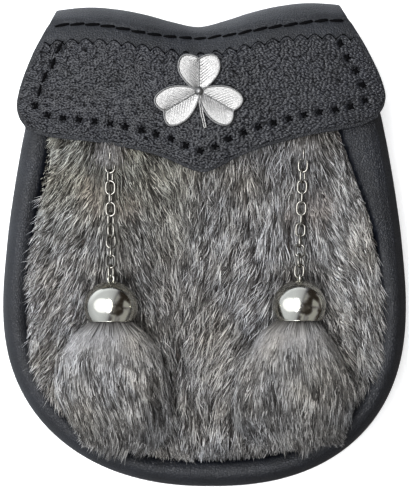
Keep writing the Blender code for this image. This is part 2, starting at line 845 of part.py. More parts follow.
def shamrock_badge(shop, frame):
    """Three leaves, a boss and a stem, cast in one."""
    foot = FLAP_FRONT_Z + LEATHER / 2 + GAP + OVERLAY_THICKNESS + GAP
    unturned = Matrix.Rotation(-FLAP_TURN, 4, "Z")
    place = Matrix.Translation((BADGE_X - FLAP_PIVOT.x, BADGE_Y, foot)) @ unturned
    shapes = []
    for i, (turn, length, width, notch) in enumerate(LEAVES):
        edge = leaf_half(length, width, notch)
        turned = Matrix.Rotation(turn, 4, "Z")
        shapes.append((leaf_mesh(f"leaf_{i + 1}", edge), turned))
        shapes.append((leaf_rim_mesh(f"rim_{i + 1}", edge), turned))
    badge = shop.piece("shamrock_badge", shapes[0][0], CAST_SILVER, frame, place, smooth_angle=30)
    badge.data.name = "shamrock_badge"
    shapes.append((dome_mesh("boss", BOSS_RADIUS, BOSS_HEIGHT), Matrix.Identity(4)))
    shapes.append((stem_mesh(), Matrix.Identity(4)))
    for mesh, turn in shapes[1:]:
        shop.join(badge, shop.helper(mesh.name, mesh, frame, place @ turn))


def press_stud(shop, frame):
    """The hidden closure, one plain disc between the fur and the flap."""
    low, high = FUR_UNDER_FLAP_Z + GAP, FLAP_FRONT_Z - LEATHER / 2 - GAP
    bm = bmesh.new()
    bmesh.ops.create_cone(
        bm, cap_ends=True, segments=16, radius1=STUD_RADIUS, radius2=STUD_RADIUS, depth=high - low
    )
    place = Matrix.Translation((0, STUD_Y, (low + high) / 2))
    shop.piece("press_stud", mesh_from(bm, "press_stud"), BLACK_LEATHER, frame, place)


# ---------------------------------------------------------------- chains, bells and tassels


def eye_place(pendant):
    """Where the middle of a bell's eye is."""
    return Vector((pendant.bell_x, pendant.bell_y + BELL_CROWN + EYE_RISE, BELL_Z))


def chain_line(pendant):
    """The chain's way from the bell's eye up to the fur, down from the bell's height at first."""
    start, steps = eye_place(pendant), 60
    points = []
    for i in range(steps + 1):
        t = i / steps
        y = start.y + (CHAIN_TOP_Y + 10 * MM - start.y) * t
        x = start.x + (pendant.chain_top_x - start.x) * t
        z = BELL_Z + (CHAIN_Z - BELL_Z) * smoothstep(0.0, CHAIN_RISE, y - start.y - 2 * MM)
        points.append(Vector((x, y, z)))
    return points


def link_mesh():
    """An oval link, long along X: a torus whose two ends are moved apart."""
    middle = LINK_WIDTH / 2 - LINK_WIRE
    bpy.ops.mesh.primitive_torus_add(
        major_segments=LINK_RINGS, minor_segments=LINK_SIDES, major_radius=middle, minor_radius=LINK_WIRE
    )
    made = bpy.context.object
    mesh = made.data
    for vert in mesh.vertices:
        vert.co.x += math.copysign((LINK_LENGTH - LINK_WIDTH) / 2, vert.co.x)
    bpy.data.objects.remove(made)
    return mesh


def link_matrix(place, ahead, roll):
    """Puts a link's length along the chain and rolls it, 0 lying flat and 90 on edge."""
    side = Vector((0, 0, 1)).cross(ahead).normalized()
    up = ahead.cross(side)
    turned = Matrix((ahead, side, up)).transposed().to_4x4() @ Matrix.Rotation(math.radians(roll), 4, "X")
    return Matrix.Translation(place) @ turned


def chain(shop, pendant):
    """The links, and the staple that the highest one hangs on."""
    line = chain_line(pendant)
    lengths = lengths_along(line)
    hook = EYE_RADIUS - EYE_WIRE - LINK_WIRE - GAP
    first = hook + LINK_LENGTH / 2 - LINK_WIRE
    count = len(pendant.link_rolls)
    for i, roll in enumerate(reversed(pendant.link_rolls)):
        at = first + i * LINK_PITCH
        place = point_at(line, lengths, at)
        ahead = (point_at(line, lengths, at + 1 * MM) - point_at(line, lengths, at - 1 * MM)).normalized()
        name = f"link_{pendant.side}_{count - i:02d}"
        shop.piece(name, link_mesh(), CHROME, matrix=link_matrix(place, ahead, roll), smooth_angle=80)
    top = first + (count - 1) * LINK_PITCH
    chain_anchor(shop, pendant, point_at(line, lengths, top + LINK_LENGTH / 2 - 2 * LINK_WIRE - GAP - STAPLE_WIRE))


def chain_anchor(shop, pendant, crown):
    """A small disc on the hide with a staple, whose top the chain's first link passes round."""
    name = f"chain_anchor_{pendant.side}"
    bm = bmesh.new()
    bmesh.ops.create_cone(
        bm, cap_ends=True, segments=16, radius1=ANCHOR_RADIUS, radius2=ANCHOR_RADIUS, depth=ANCHOR_THICKNESS
    )
    disc = Matrix.Translation((crown.x, crown.y, ANCHOR_Z + ANCHOR_THICKNESS / 2))
    anchor = shop.piece(name, mesh_from(bm, name), CHROME, matrix=disc)
    spring = crown.z - STAPLE_HALF_WIDTH
    points = [(-STAPLE_HALF_WIDTH, 0, ANCHOR_Z + ANCHOR_THICKNESS * 0.3)]
    for i in range(7):
        turn = math.pi * (1 - i / 6)
        points.append((STAPLE_HALF_WIDTH * math.cos(turn), 0, spring + STAPLE_HALF_WIDTH * math.sin(turn)))
    points.append((STAPLE_HALF_WIDTH, 0, ANCHOR_Z + ANCHOR_THICKNESS * 0.3))
    staple = wire_mesh(f"staple_{pendant.side}", points, STAPLE_WIRE)
    place = Matrix.Translation((crown.x, crown.y, 0))
    shop.join(anchor, shop.helper(staple.name, staple, shop.root, place))


def bell(shop, pendant):
    """A turned cup, a sphere cut off below its widest line, with the eye fused to its crown."""
    inner, inner_crown = BELL_RADIUS - BELL_WALL, BELL_CROWN - BELL_WALL

    def wall(radius, crown):
        points = []
        for i in range(BELL_RINGS + 1):
            turn = BELL_MOUTH_ANGLE * i / BELL_RINGS
            tall = crown if turn < math.pi / 2 else radius
            points.append((radius * math.sin(turn), 0.0, tall * math.cos(turn)))
        return points

    profile = wall(BELL_RADIUS, BELL_CROWN) + wall(inner, inner_crown)[::-1]
    mesh = bpy.data.meshes.new("bell")
    mesh.from_pydata(profile, [(i, i + 1) for i in range(len(profile) - 1)], [])
    place = Matrix.Translation((pendant.bell_x, pendant.bell_y, BELL_Z)) @ Matrix.Rotation(-math.pi / 2, 4, "X")
    cup = shop.piece(f"bell_{pendant.side}", mesh, CHROME, matrix=place, smooth_angle=60)
    turned = cup.modifiers.new("turned", "SCREW")
    turned.steps = turned.render_steps = BELL_SIDES
    turned.use_merge_vertices = True
    turned.merge_threshold = 0.00002
    bpy.ops.mesh.primitive_torus_add(
        major_segments=10, minor_segments=5, major_radius=EYE_RADIUS, minor_radius=EYE_WIRE
    )
    made = bpy.context.object
    eye = made.data
    eye.name = f"eye_{pendant.side}"
    bpy.data.objects.remove(made)
    roll = math.radians(pendant.link_rolls[-1] + 90)
    stand = Matrix.Translation(eye_place(pendant)) @ Matrix.Rotation(roll, 4, "Y")
    shop.join(cup, shop.helper(eye.name, eye, shop.root, stand))


def tassel_swing(pendant, below):
    """How far the tassel's middle lies to the right of its bell's."""
    at_tips = smoothstep(22 * MM, 60 * MM, below) * (pendant.tip_swing - pendant.swing)
    return smoothstep(0.0, 10 * MM, below) * pendant.swing + at_tips * 1.15


def fur_tassel(shop, pendant):
    """A head in the bell, a flaring tier of locks, and a lower tier whose locks end in points."""
    mouth_y = pendant.bell_y + BELL_RADIUS * math.cos(BELL_MOUTH_ANGLE)
    wild = random.Random(pendant.seed)
    around = 2 * TASSEL_LOCKS
    jitter = [wild.uniform(0.7, 1.3) for _ in range(around)]
    last = LOWER_TIER[-1]

    def ring(station, ridge_on):
        share = max(station.below, 0.0) / last.below
        wide = 1 + (pendant.tassel_width - 1) * share
        points = []
        for i in range(around):
            turn = 2 * math.pi * i / around
            on_ridge = i % 2 == ridge_on
            out = 1.0 if on_ridge else 1 - station.groove / station.half_width
            drop = station.below + (station.point * jitter[i] if on_ridge else 0.0)
            middle = pendant.bell_x + tassel_swing(pendant, station.below)
            x = middle + out * wide * station.half_width * math.cos(turn)
            z = station.z + out * station.half_thickness * math.sin(turn)
            length = pendant.tassel_length if drop > 0 else 1.0
            points.append(Vector((x, mouth_y - drop * length, z)))
        return points

    rings = [ring(station, 1) for station in UPPER_TIER] + [ring(station, 0) for station in LOWER_TIER]
    swing = tassel_swing(pendant, last.below)
    middle = Vector((pendant.bell_x + swing, mouth_y - (last.below - TASSEL_HOLLOW), last.z))
    mesh = loft_mesh(f"fur_tassel_{pendant.side}", rings, hollow_end=middle)
    shop.piece(f"fur_tassel_{pendant.side}", mesh, GREY_FUR, smooth_angle=25)


def main():
    clear_scene()
    shop = Workshop()
    back_panel(shop)
    gusset_border(shop)
    fur_panel(shop)
    frame = flap_frame(shop)
    flap(shop, frame)
    flap_overlay(shop, frame)
    shamrock_badge(shop, frame)
    press_stud(shop, frame)
    for pendant in PENDANTS:
        bell(shop, pendant)
        fur_tassel(shop, pendant)
        chain(shop, pendant)


main()
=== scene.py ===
"""Looks of a sporran pouch that lies on its back: leather, rabbit fur, chains, bells and a cast badge.

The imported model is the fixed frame. Each sub-assembly below repeats the sizes of its solids in
millimetres, in the outline's own frame, and `placed` turns them into the object's frame in metres.
"""

from __future__ import annotations

import logging
import math
from collections.abc import Callable, Iterable, Iterator, Sequence
from contextlib import contextmanager
from dataclasses import dataclass
from enum import Enum

import bpy
import numpy as np
from bpy.types import Material, NodeSocket, Object
from mathutils import Matrix, Vector

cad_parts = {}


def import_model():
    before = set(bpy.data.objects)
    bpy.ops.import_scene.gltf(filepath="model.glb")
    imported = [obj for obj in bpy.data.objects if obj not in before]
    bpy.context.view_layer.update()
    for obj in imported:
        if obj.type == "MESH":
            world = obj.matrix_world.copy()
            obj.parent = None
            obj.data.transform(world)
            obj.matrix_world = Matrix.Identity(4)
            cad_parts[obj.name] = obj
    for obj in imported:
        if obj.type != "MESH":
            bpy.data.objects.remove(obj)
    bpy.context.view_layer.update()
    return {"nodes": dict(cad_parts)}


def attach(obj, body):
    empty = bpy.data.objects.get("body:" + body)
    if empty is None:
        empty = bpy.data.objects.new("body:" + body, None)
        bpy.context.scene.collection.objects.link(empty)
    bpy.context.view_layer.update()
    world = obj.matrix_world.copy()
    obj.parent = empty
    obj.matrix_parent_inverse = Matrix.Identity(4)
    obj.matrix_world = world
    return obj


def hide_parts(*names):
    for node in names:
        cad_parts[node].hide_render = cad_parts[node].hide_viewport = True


LOG = logging.getLogger("sporran_pouch")

MM = 0.001
SHIFT_Y = 0.55
BODY = "root"

# Sizes that several pieces share, in millimetres.
LEATHER = 2.2
GAP = 0.3
SHOULDER_Y, WIDEST_Y = 101.0, -27.0
BELLY_HALF_WIDTH, BELLY_DEPTH, BELLY_POWER = 89.7, 80.8, 2.29
BELLY_LEAN, BELLY_LEAN_POWER = 2.9, 2.0
FLAP_TURN = math.radians(1.9)
FLAP_PIVOT_X, FLAP_PIVOT_Y = -1.6, 66.0
FLAP_FRONT_Z, FLAP_TAIL_Z = 40.6, 3.9
FLAP_DROOP, FLAP_DROOP_AT = 4.0, 88.0
FLAP_FOLD_TILT = 0.013
FLAP_CORNER_X, FLAP_CORNER_Y = 77.2, 52.8
HIDE_Z, HIDE_THICKNESS, HIDE_TOP_Y, HIDE_INSET = 29.0, 1.6, 70.0, 13.2
BELL_Z, BELL_RADIUS, BELL_CROWN = 44.6, 11.8, 11.0
BELL_MOUTH = math.radians(122.0)


# ---------------------------------------------------------------- places and curves


def placed(points: np.ndarray) -> np.ndarray:
    """Millimetres in the outline's frame as metres in the object's frame."""
    return (np.asarray(points, float) + (0.0, SHIFT_Y, 0.0)) * MM


def smoothstep(low: float, high: float, value: np.ndarray | float) -> np.ndarray:
    """0 at low, 1 at high, with level ends."""
    t = np.clip((np.asarray(value, float) - low) / (high - low), 0.0, 1.0)
    return t * t * (3 - 2 * t)


def hump(distance: np.ndarray, width: float) -> np.ndarray:
    """A soft hump, 1 at no distance and nearly 0 past twice the width."""
    return np.exp(-((distance / width) ** 2))


def unit(vectors: np.ndarray) -> np.ndarray:
    """Vectors at length 1."""
    return vectors / np.linalg.norm(vectors, axis=1, keepdims=True)


def square_to(vectors: np.ndarray) -> np.ndarray:
    """Vectors of the plane turned a quarter to the left."""
    return np.column_stack([-vectors[:, 1], vectors[:, 0]])


def raised(places: np.ndarray, height: np.ndarray) -> np.ndarray:
    """Places of the plane with their heights."""
    return np.column_stack([places, height])


def read_rows(rows: Sequence[Sequence[float]], where: np.ndarray | float) -> list[np.ndarray]:
    """The further columns of a table of rows, read straight between the places in its first."""
    places, *columns = np.array(rows, float).T
    return [np.interp(where, places, column) for column in columns]


def cubic(t: np.ndarray, ends: Sequence[np.ndarray], slopes: Sequence[np.ndarray],
          width: float = 1.0) -> np.ndarray:  # fmt: skip
    """A smooth curve between two ends, by its slopes there, at shares of its width."""
    rise = (1 + 2 * t) * (1 - t) ** 2 * ends[0] + t * t * (3 - 2 * t) * ends[1]
    return rise + width * (t * (1 - t) ** 2 * slopes[0] - t * t * (1 - t) * slopes[1])


@dataclass(frozen=True)
class Curve:
    """A smooth curve through (place, value) rows that starts level."""

    rows: tuple[tuple[float, float], ...]

    def at(self, where: np.ndarray | float) -> np.ndarray:
        """The values at some places.

        Args:
            where: Places along the curve.

        Returns:
            The value at each place, run on straight past the last row.
        """
        x, y = np.array(self.rows, float).T
        where = np.asarray(where, float)
        slopes = np.zeros(len(x))
        slopes[1:-1] = (y[2:] - y[:-2]) / (x[2:] - x[:-2])
        slopes[-1] = (y[-1] - y[-2]) / (x[-1] - x[-2])
        i = np.searchsorted(x[1:-1], where, side="left")
        width = x[i + 1] - x[i]
        t = (where - x[i]) / width
        within = cubic(t, (y[i], y[i + 1]), (slopes[i], slopes[i + 1]), width)
        return np.where(t > 1, y[i + 1] + slopes[i + 1] * (where - x[i + 1]), within)

    def held(self, where: np.ndarray | float) -> np.ndarray:
        """The values, kept level past both ends."""
        return self.at(np.clip(where, self.rows[0][0], self.rows[-1][0]))


BODY_SIDE = Curve((
    (-27.0, 89.7), (0.0, 87.9), (21.0, 85.2), (42.5, 81.6), (51.5, 79.8), (58.5, 78.5),
    (66.0, 76.6), (74.0, 74.0), (82.0, 70.6), (90.0, 66.7), (96.0, 63.4), (101.0, 60.4),
))  # fmt: skip
FLAP_SIDE = Curve((
    (52.8, 77.2), (57.5, 79.8), (62.5, 80.9), (67.5, 80.1), (74.0, 77.9), (82.5, 73.8),
    (90.0, 69.6), (95.5, 66.3), (100.0, 63.8), (105.2, 62.0),
))  # fmt: skip
FLAP_FOLD = Curve((
    (0.0, 95.3), (12.0, 97.8), (23.0, 101.1), (35.0, 103.7), (48.0, 105.0), (62.0, 104.0),
    (72.0, 102.0),
))  # fmt: skip
FLAP_LOWER = Curve((
    (0.0, 31.4), (2.5, 31.7), (7.5, 33.7), (15.5, 37.6), (24.5, 40.8), (36.0, 43.7),
    (47.5, 46.2), (60.0, 47.9), (70.0, 49.8), (77.2, 52.8),
))  # fmt: skip
# Below the fold: the pebbled layer's top edge and the seam.
OVERLAY_DEPTH = Curve(((0.0, 11.6), (25.0, 13.4), (50.0, 13.8), (72.0, 12.4)))
SEAM_DEPTH = Curve((
    (-72.0, 6.4), (-60.0, 7.0), (-38.0, 8.2), (-24.0, 8.4), (-12.0, 6.7), (-3.0, 5.2),
    (6.0, 5.6), (20.0, 7.9), (42.0, 9.2), (58.0, 7.6), (72.0, 7.0),
))  # fmt: skip
# Where the right side's leather edge lies over the fur, as (y, inset).
LIP_END = Curve(((-60, 9.6), (-30, 9.4), (-2, 10.4), (10, 11.9), (30, 15.9), (50, 19.2), (60, 20.0)))
# The border's section near the fur, as (inset, height): of the sheet's middle where it stays level
# as a lip, and of its upper face where it falls to the hide.
LEVEL_RIBS = ((2.2, 28.5), (4.7, 32.3), (7.8, 33.6), (11.0, 34.3), (14.0, 34.7), (17.5, 34.9))
FALLEN_RIBS = ((0, 30), (4.7, 34.4), (7.8, 35.4), (9.5, 34.6), (11.0, 33.0), (13.2, 29.0), (15.0, 28.0))


def body_half(y: np.ndarray) -> np.ndarray:
    """Half the body's width at heights over its middle."""
    down = np.clip((WIDEST_Y - y) / BELLY_DEPTH, 0.0, 1.0)
    belly = BELLY_HALF_WIDTH * (1 - down**BELLY_POWER) ** (1 / BELLY_POWER)
    return np.where(y < WIDEST_Y, belly, BODY_SIDE.at(y))


def body_middle(y: np.ndarray) -> np.ndarray:
    """X of the body's middle: it leans right at the bottom and follows the flap at the top."""
    low = BELLY_LEAN * (np.clip(WIDEST_Y - y, 0, None) / BELLY_DEPTH) ** BELLY_LEAN_POWER
    flap = FLAP_PIVOT_X - (y - FLAP_PIVOT_Y) * math.tan(FLAP_TURN)
    return np.where(y < WIDEST_Y, low, smoothstep(51.5, 76.0, y) * flap)


class Outline:
    """An open line in the plane, read by the share of its length."""

    def __init__(self, points: np.ndarray) -> None:
        """Keeps the points and their distances from the start."""
        self.points = points
        steps = np.linalg.norm(np.diff(points, axis=0), axis=1)
        self.lengths = np.concatenate([[0.0], np.cumsum(steps)])

    @classmethod
    def of_body(cls, steps: int = 240) -> Outline:
        """The body's outline from the left shoulder round the belly to the right shoulder."""
        y = np.linspace(SHOULDER_Y, WIDEST_Y, steps, endpoint=False)
        turn = np.linspace(0, math.pi / 2, steps + 1)
        x_low = BELLY_HALF_WIDTH * np.clip(np.cos(turn), 0, None) ** (2 / BELLY_POWER)
        y_low = WIDEST_Y - BELLY_DEPTH * np.sin(turn) ** (2 / BELLY_POWER)
        half = np.column_stack([np.r_[BODY_SIDE.at(y), x_low], np.r_[y, y_low]])
        points = np.vstack([half[:-1] * (-1, 1), half[::-1]])
        points[:, 0] += body_middle(points[:, 1])
        return cls(points)

    def inset(self, distance: float) -> Outline:
        """The line moved inwards."""
        ahead = np.empty_like(self.points)
        ahead[1:-1] = self.points[2:] - self.points[:-2]
        ahead[0], ahead[-1] = self.points[1] - self.points[0], self.points[-1] - self.points[-2]
        return Outline(self.points + unit(square_to(ahead)) * distance)

    def below(self, top: float) -> Outline:
        """The part of the line under a height, ending on it."""
        kept = np.flatnonzero(self.points[:, 1] <= top)
        ends = []
        for low, high in ((kept[0], kept[0] - 1), (kept[-1], kept[-1] + 1)):
            high = min(max(high, 0), len(self.points) - 1)
            a, b = self.points[low], self.points[high]
            share = (top - a[1]) / (b[1] - a[1]) if b[1] != a[1] else 0.0
            ends.append(a + (b - a) * share)
        return Outline(np.vstack([ends[0], self.points[kept[0] : kept[-1] + 1], ends[1]]))

    def at(self, share: np.ndarray | float) -> np.ndarray:
        """Points at some shares of the length."""
        far = np.asarray(share, float) * self.lengths[-1]
        return np.stack([np.interp(far, self.lengths, self.points[:, k]) for k in (0, 1)], -1)

    def depth_of(self, places: np.ndarray, marks: int = 400, batch: int = 4000) -> np.ndarray:
        """How far inside the body's outline some places lie, below 0 outside it."""
        line = self.at(np.linspace(0, 1, marks))
        depth = np.empty(len(places))
        for start in range(0, len(places), batch):
            part = places[start : start + batch]
            depth[start : start + batch] = np.linalg.norm(part[:, None] - line[None], axis=2).min(axis=1)
        inside = np.abs(places[:, 0] - body_middle(places[:, 1])) < body_half(places[:, 1])
        return np.where(inside, depth, -depth)


BODY_OUTLINE = Outline.of_body()


def lip_share(x: np.ndarray, y: np.ndarray) -> np.ndarray:
    """How far the border's inner flank stays level instead of falling: most on the upper right."""
    return np.where(np.asarray(x) > 0, 0.95 * smoothstep(-32, 8, y), 0.45 * smoothstep(5, 40, y))


def level_lip(inset: np.ndarray, y: np.ndarray) -> np.ndarray:
    """Height of the sheet's middle where the lip stays level, with its cut edge."""
    return read_rows(LEVEL_RIBS, inset)[0] - 5.0 * smoothstep(0.0, 0.9, inset - LIP_END.held(y))


def border_top(x: np.ndarray, y: np.ndarray, depth: np.ndarray) -> np.ndarray:
    """Height of the border's upper face at places a depth inside the outline."""
    fallen = read_rows(FALLEN_RIBS, depth)[0]
    return fallen + (level_lip(depth, y) + LEATHER / 2 - fallen) * lip_share(x, y)


# ---------------------------------------------------------------- workshop tools


def make_active(*objects: Object) -> None:
    """Only these objects are selected, the first of them active, in object mode."""
    if bpy.context.mode != "OBJECT":
        bpy.ops.object.mode_set(mode="OBJECT")
    bpy.ops.object.select_all(action="DESELECT")
    for obj in objects:
        obj.select_set(True)
    if objects:
        bpy.context.view_layer.objects.active = objects[0]


def primitive(operator: Callable, **settings: object) -> Object:
    """Adds a mesh at the origin by one of Blender's operators."""
    make_active()
    operator(**settings)
    return bpy.context.object


def linked(name: str, data: bpy.types.ID) -> Object:
    """A new object in the scene that shows some data."""
    obj = bpy.data.objects.new(name, data)
    bpy.context.scene.collection.objects.link(obj)
    return obj


@contextmanager
def editing(obj: Object, chosen: Callable | None = None, mode: str = "VERT") -> Iterator[None]:
    """Edit mode with the chosen parts selected, and object mode again afterwards.

    Args:
        obj: The object to edit.
        chosen: Says for a vertex or face whether it is selected, or None for all.
        mode: VERT or FACE.

    Yields:
        Nothing, while the object is in edit mode.
    """
    make_active(obj)
    bpy.ops.object.mode_set(mode="EDIT")
    bpy.ops.mesh.select_mode(type=mode)
    bpy.ops.mesh.select_all(action="SELECT" if chosen is None else "DESELECT")
    if chosen is not None:
        bpy.ops.object.mode_set(mode="OBJECT")
        for part in obj.data.vertices if mode == "VERT" else obj.data.polygons:
            part.select = bool(chosen(part))
        bpy.ops.object.mode_set(mode="EDIT")
    yield
    bpy.ops.object.mode_set(mode="OBJECT")


def apply_modifier(obj: Object, kind: str, **settings: object) -> None:
    """Adds a modifier with its settings and applies it."""
    make_active(obj)
    modifier = obj.modifiers.new(kind.lower(), kind)
    for name, value in settings.items():
        setattr(modifier, name, value)
    bpy.ops.object.modifier_apply(modifier=modifier.name)


def thicken(obj: Object, thickness: float, offset: float = 0.0) -> None:
    """Gives a sheet its thickness in millimetres, on both sides or, at -1, on its inner side."""
    apply_modifier(obj, "SOLIDIFY", thickness=thickness * MM, offset=offset, use_even_offset=offset == 0.0)
    face_outwards(obj)


def move_points(obj: Object, places: np.ndarray) -> None:
    """Puts the mesh's points at places in metres."""
    obj.data.vertices.foreach_set("co", np.asarray(places, np.float32).ravel())
    obj.data.update()


def points_of(obj: Object, value: str = "co") -> np.ndarray:
    """The mesh's points in metres, or another value of them."""
    found = np.empty(len(obj.data.vertices) * 3, np.float32)
    obj.data.vertices.foreach_get(value, found)
    return found.reshape(-1, 3).astype(float)


def add_attribute(obj: Object, name: str, values: np.ndarray) -> None:
    """Keeps a value for each point that the finish reads."""
    attribute = obj.data.attributes.new(name, "FLOAT", "POINT")
    attribute.data.foreach_set("value", values.astype(np.float32))


def formed_sheet(name: str, columns: int, rows: int, form: Callable[..., np.ndarray]) -> Object:
    """A grid that is laid on a form.

    Args:
        name: The object's name.
        columns: Faces across.
        rows: Faces along.
        form: Gives the points in millimetres for shares across and along.

    Returns:
        The sheet, with its points placed.
    """
    sheet = primitive(bpy.ops.mesh.primitive_grid_add, x_subdivisions=columns, y_subdivisions=rows, size=1.0)
    sheet.name = sheet.data.name = name
    flat = points_of(sheet)
    move_points(sheet, placed(form(flat[:, 0] + 0.5, flat[:, 1] + 0.5)))
    return sheet


def numbered_grid(columns: int, rows: int) -> tuple[Object, np.ndarray, np.ndarray]:
    """A grid, with the numbers of each point's column and row."""
    grid = primitive(bpy.ops.mesh.primitive_grid_add, x_subdivisions=columns, y_subdivisions=rows, size=1.0)
    shares = points_of(grid)[:, :2] + 0.5
    return grid, *np.rint(shares * (columns, rows)).astype(int).T


def face_outwards(obj: Object) -> None:
    """Doubles are merged and the normals recalculated."""
    with editing(obj):
        bpy.ops.mesh.remove_doubles(threshold=1e-6)
        bpy.ops.mesh.normals_make_consistent(inside=False)


def close_ends(obj: Object) -> None:
    """Fills the open ends of a bar or tube."""
    with editing(obj):
        bpy.ops.mesh.select_all(action="DESELECT")
        bpy.ops.mesh.select_non_manifold()
        bpy.ops.mesh.edge_face_add()
    face_outwards(obj)


def joined(name: str, parts: Sequence[Object]) -> Object:
    """Several objects as one."""
    make_active(*parts)
    if len(parts) > 1:
        bpy.ops.object.join()
    whole = bpy.context.view_layer.objects.active
    whole.name = whole.data.name = name
    return whole


def place_matrix(x: float, y: float, z: float, turn: float = 0.0, tilt: float = 0.0) -> Matrix:
    """Moves a pattern from the origin to a place in millimetres, turned about Z and tilted first about X."""
    spot = placed(np.array([x, y, z]))
    return Matrix.Translation(spot) @ Matrix.Rotation(turn, 4, "Z") @ Matrix.Rotation(tilt, 4, "X")


def copy_at(pattern: Object, matrix: Matrix) -> Object:
    """A copy with its own mesh, moved by a matrix into place."""
    copy = pattern.copy()
    copy.data = pattern.data.copy()
    bpy.context.scene.collection.objects.link(copy)
    copy.data.transform(matrix)
    return copy


def discard(*objects: Object) -> None:
    """Removes patterns that were only copied."""
    for obj in objects:
        bpy.data.objects.remove(obj, do_unlink=True)


def tube(name: str, points: Iterable[Sequence[float]], radius: float) -> Object:
    """A round bead along a line of points, all in millimetres, made from a curve."""
    curve = bpy.data.curves.new(name, "CURVE")
    curve.dimensions = "3D"
    curve.bevel_depth = radius * MM
    curve.bevel_resolution = 2
    curve.use_fill_caps = True
    points = list(points)
    spline = curve.splines.new("POLY")
    spline.points.add(len(points) - 1)
    for spot, point in zip(spline.points, points):
        spot.co = (*(value * MM for value in point), 1.0)
    make_active(linked(name, curve))
    bpy.ops.object.convert(target="MESH")
    made = bpy.context.object
    face_outwards(made)
    return made


def finish_piece(
    obj: Object, finish: Finish, replaces: Sequence[str] = (), smooth: float = 40.0
) -> Object:
    """Smooth shading, material and body of a finished piece, with the CAD nodes it stands for hidden.

    Args:
        obj: The piece, with its place in its mesh.
        finish: What it is made of.
        replaces: The CAD nodes that it stands for.
        smooth: Edges sharper than this many degrees stay sharp.

    Returns:
        The same piece.
    """
    make_active(obj)
    bpy.ops.object.shade_smooth_by_angle(angle=math.radians(smooth))
    obj.data.materials.clear()
    obj.data.materials.append(finish.material())
    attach(obj, BODY)
    if replaces:
        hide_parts(*replaces)
    LOG.info("%s: %d faces", obj.name, len(obj.data.polygons))
    return obj


# ---------------------------------------------------------------- finishes


def linear(code: str) -> tuple[float, float, float]:
    """An sRGB hex colour as linear values."""
    values = [int(code[i : i + 2], 16) / 255 for i in (1, 3, 5)]
    return tuple(v / 12.92 if v <= 0.04045 else ((v + 0.055) / 1.055) ** 2.4 for v in values)


class Shading:
    """The node tree of a material or of the world. Each method adds a node and returns its output."""

    def __init__(self, owner: Material | bpy.types.World, shader: str, where: str) -> None:
        """Opens the owner's tree.

        Args:
            owner: The material or the world.
            shader: The name of its shader node.
            where: The texture coordinate that the tree reads.
        """
        owner.use_nodes = True
        self.owner = owner
        self.tree = owner.node_tree
        self.shader = self.tree.nodes[shader]
        self.where = self.node("TexCoord").outputs[where]

    @classmethod
    def of_material(cls, name: str) -> Shading:
        """The tree of a new material."""
        return cls(bpy.data.materials.new(name), "Principled BSDF", "Object")

    def join(self, socket: NodeSocket, source: object) -> None:
        """Links an output to a socket, or sets a constant on it."""
        if isinstance(source, NodeSocket):
            self.tree.links.new(source, socket)
        else:
            socket.default_value = source

    def node(self, kind: str, links: dict | None = None, **settings: object) -> bpy.types.Node:
        """Adds a node.

        Args:
            kind: Its type name after ShaderNode.
            links: For an input's name or number, an output socket or a value.
            settings: Properties of the node.

        Returns:
            The new node.
        """
        node = self.tree.nodes.new("ShaderNode" + kind)
        for name, value in settings.items():
            setattr(node, name, value)
        for key, source in (links or {}).items():
            self.join(node.inputs[key], source)
        return node

    def noise(self, size: float, detail: float, **inputs: object) -> NodeSocket:
        """Cloudy noise, from the size of its patches in millimetres."""
        links = {"Vector": self.where, "Scale": 1 / (size * MM), "Detail": detail, **inputs}
        return self.node("TexNoise", links).outputs["Fac"]

    def cells(self, size: float) -> NodeSocket:
        """Distance to the edge of the nearest cell, from the cells' size in millimetres."""
        links = {"Vector": self.where, "Scale": 1 / (size * MM)}
        return self.node("TexVoronoi", links, feature="DISTANCE_TO_EDGE").outputs["Distance"]

    def drawn_out(self, along: float) -> NodeSocket:
        """The coordinate with its Y scaled, for marks that are drawn out or pressed flat."""
        return self.node("Mapping", {"Vector": self.where, "Scale": (1.0, along, 1.0)}).outputs[0]

    def attribute(self, name: str, output: str = "Fac") -> NodeSocket:
        """A value that the mesh carries."""
        return self.node("Attribute", attribute_name=name).outputs[output]

    def ramp(self, factor: NodeSocket, *stops: tuple[float, str | float]) -> NodeSocket:
        """A colour ramp over a factor, by places with an sRGB colour or a plain level."""
        node = self.node("ValToRGB", {0: factor})
        points = node.color_ramp.elements
        while len(points) < len(stops):
            points.new(0.5)
        for point, (place, colour) in zip(points, stops):
            point.position = place
            point.color = (*(linear(colour) if isinstance(colour, str) else (colour,) * 3), 1.0)
        return node.outputs[0]

    def mix(self, factor: object, first: object, second: object, blend: str = "MIX") -> NodeSocket:
        """Two colours mixed by a factor."""
        links = {"Factor": factor, 6: first, 7: second}
        return self.node("Mix", links, data_type="RGBA", blend_type=blend).outputs[2]

    def bump(self, height: NodeSocket, strength: float, depth: float, **links: NodeSocket) -> NodeSocket:
        """Relief from a height, with its depth in millimetres."""
        links = {"Height": height, "Strength": strength, "Distance": depth * MM, **links}
        return self.node("Bump", links).outputs[0]

    def shade(self, **values: object) -> Material | bpy.types.World:
        """Joins outputs and constants to the shader's own sockets; an underscore stands for a space.

        Args:
            values: An output socket or a constant for each of the shader's sockets.

        Returns:
            The finished owner.
        """
        for name, value in values.items():
            self.join(self.shader.inputs[name.replace("_", " ")], value)
        return self.owner


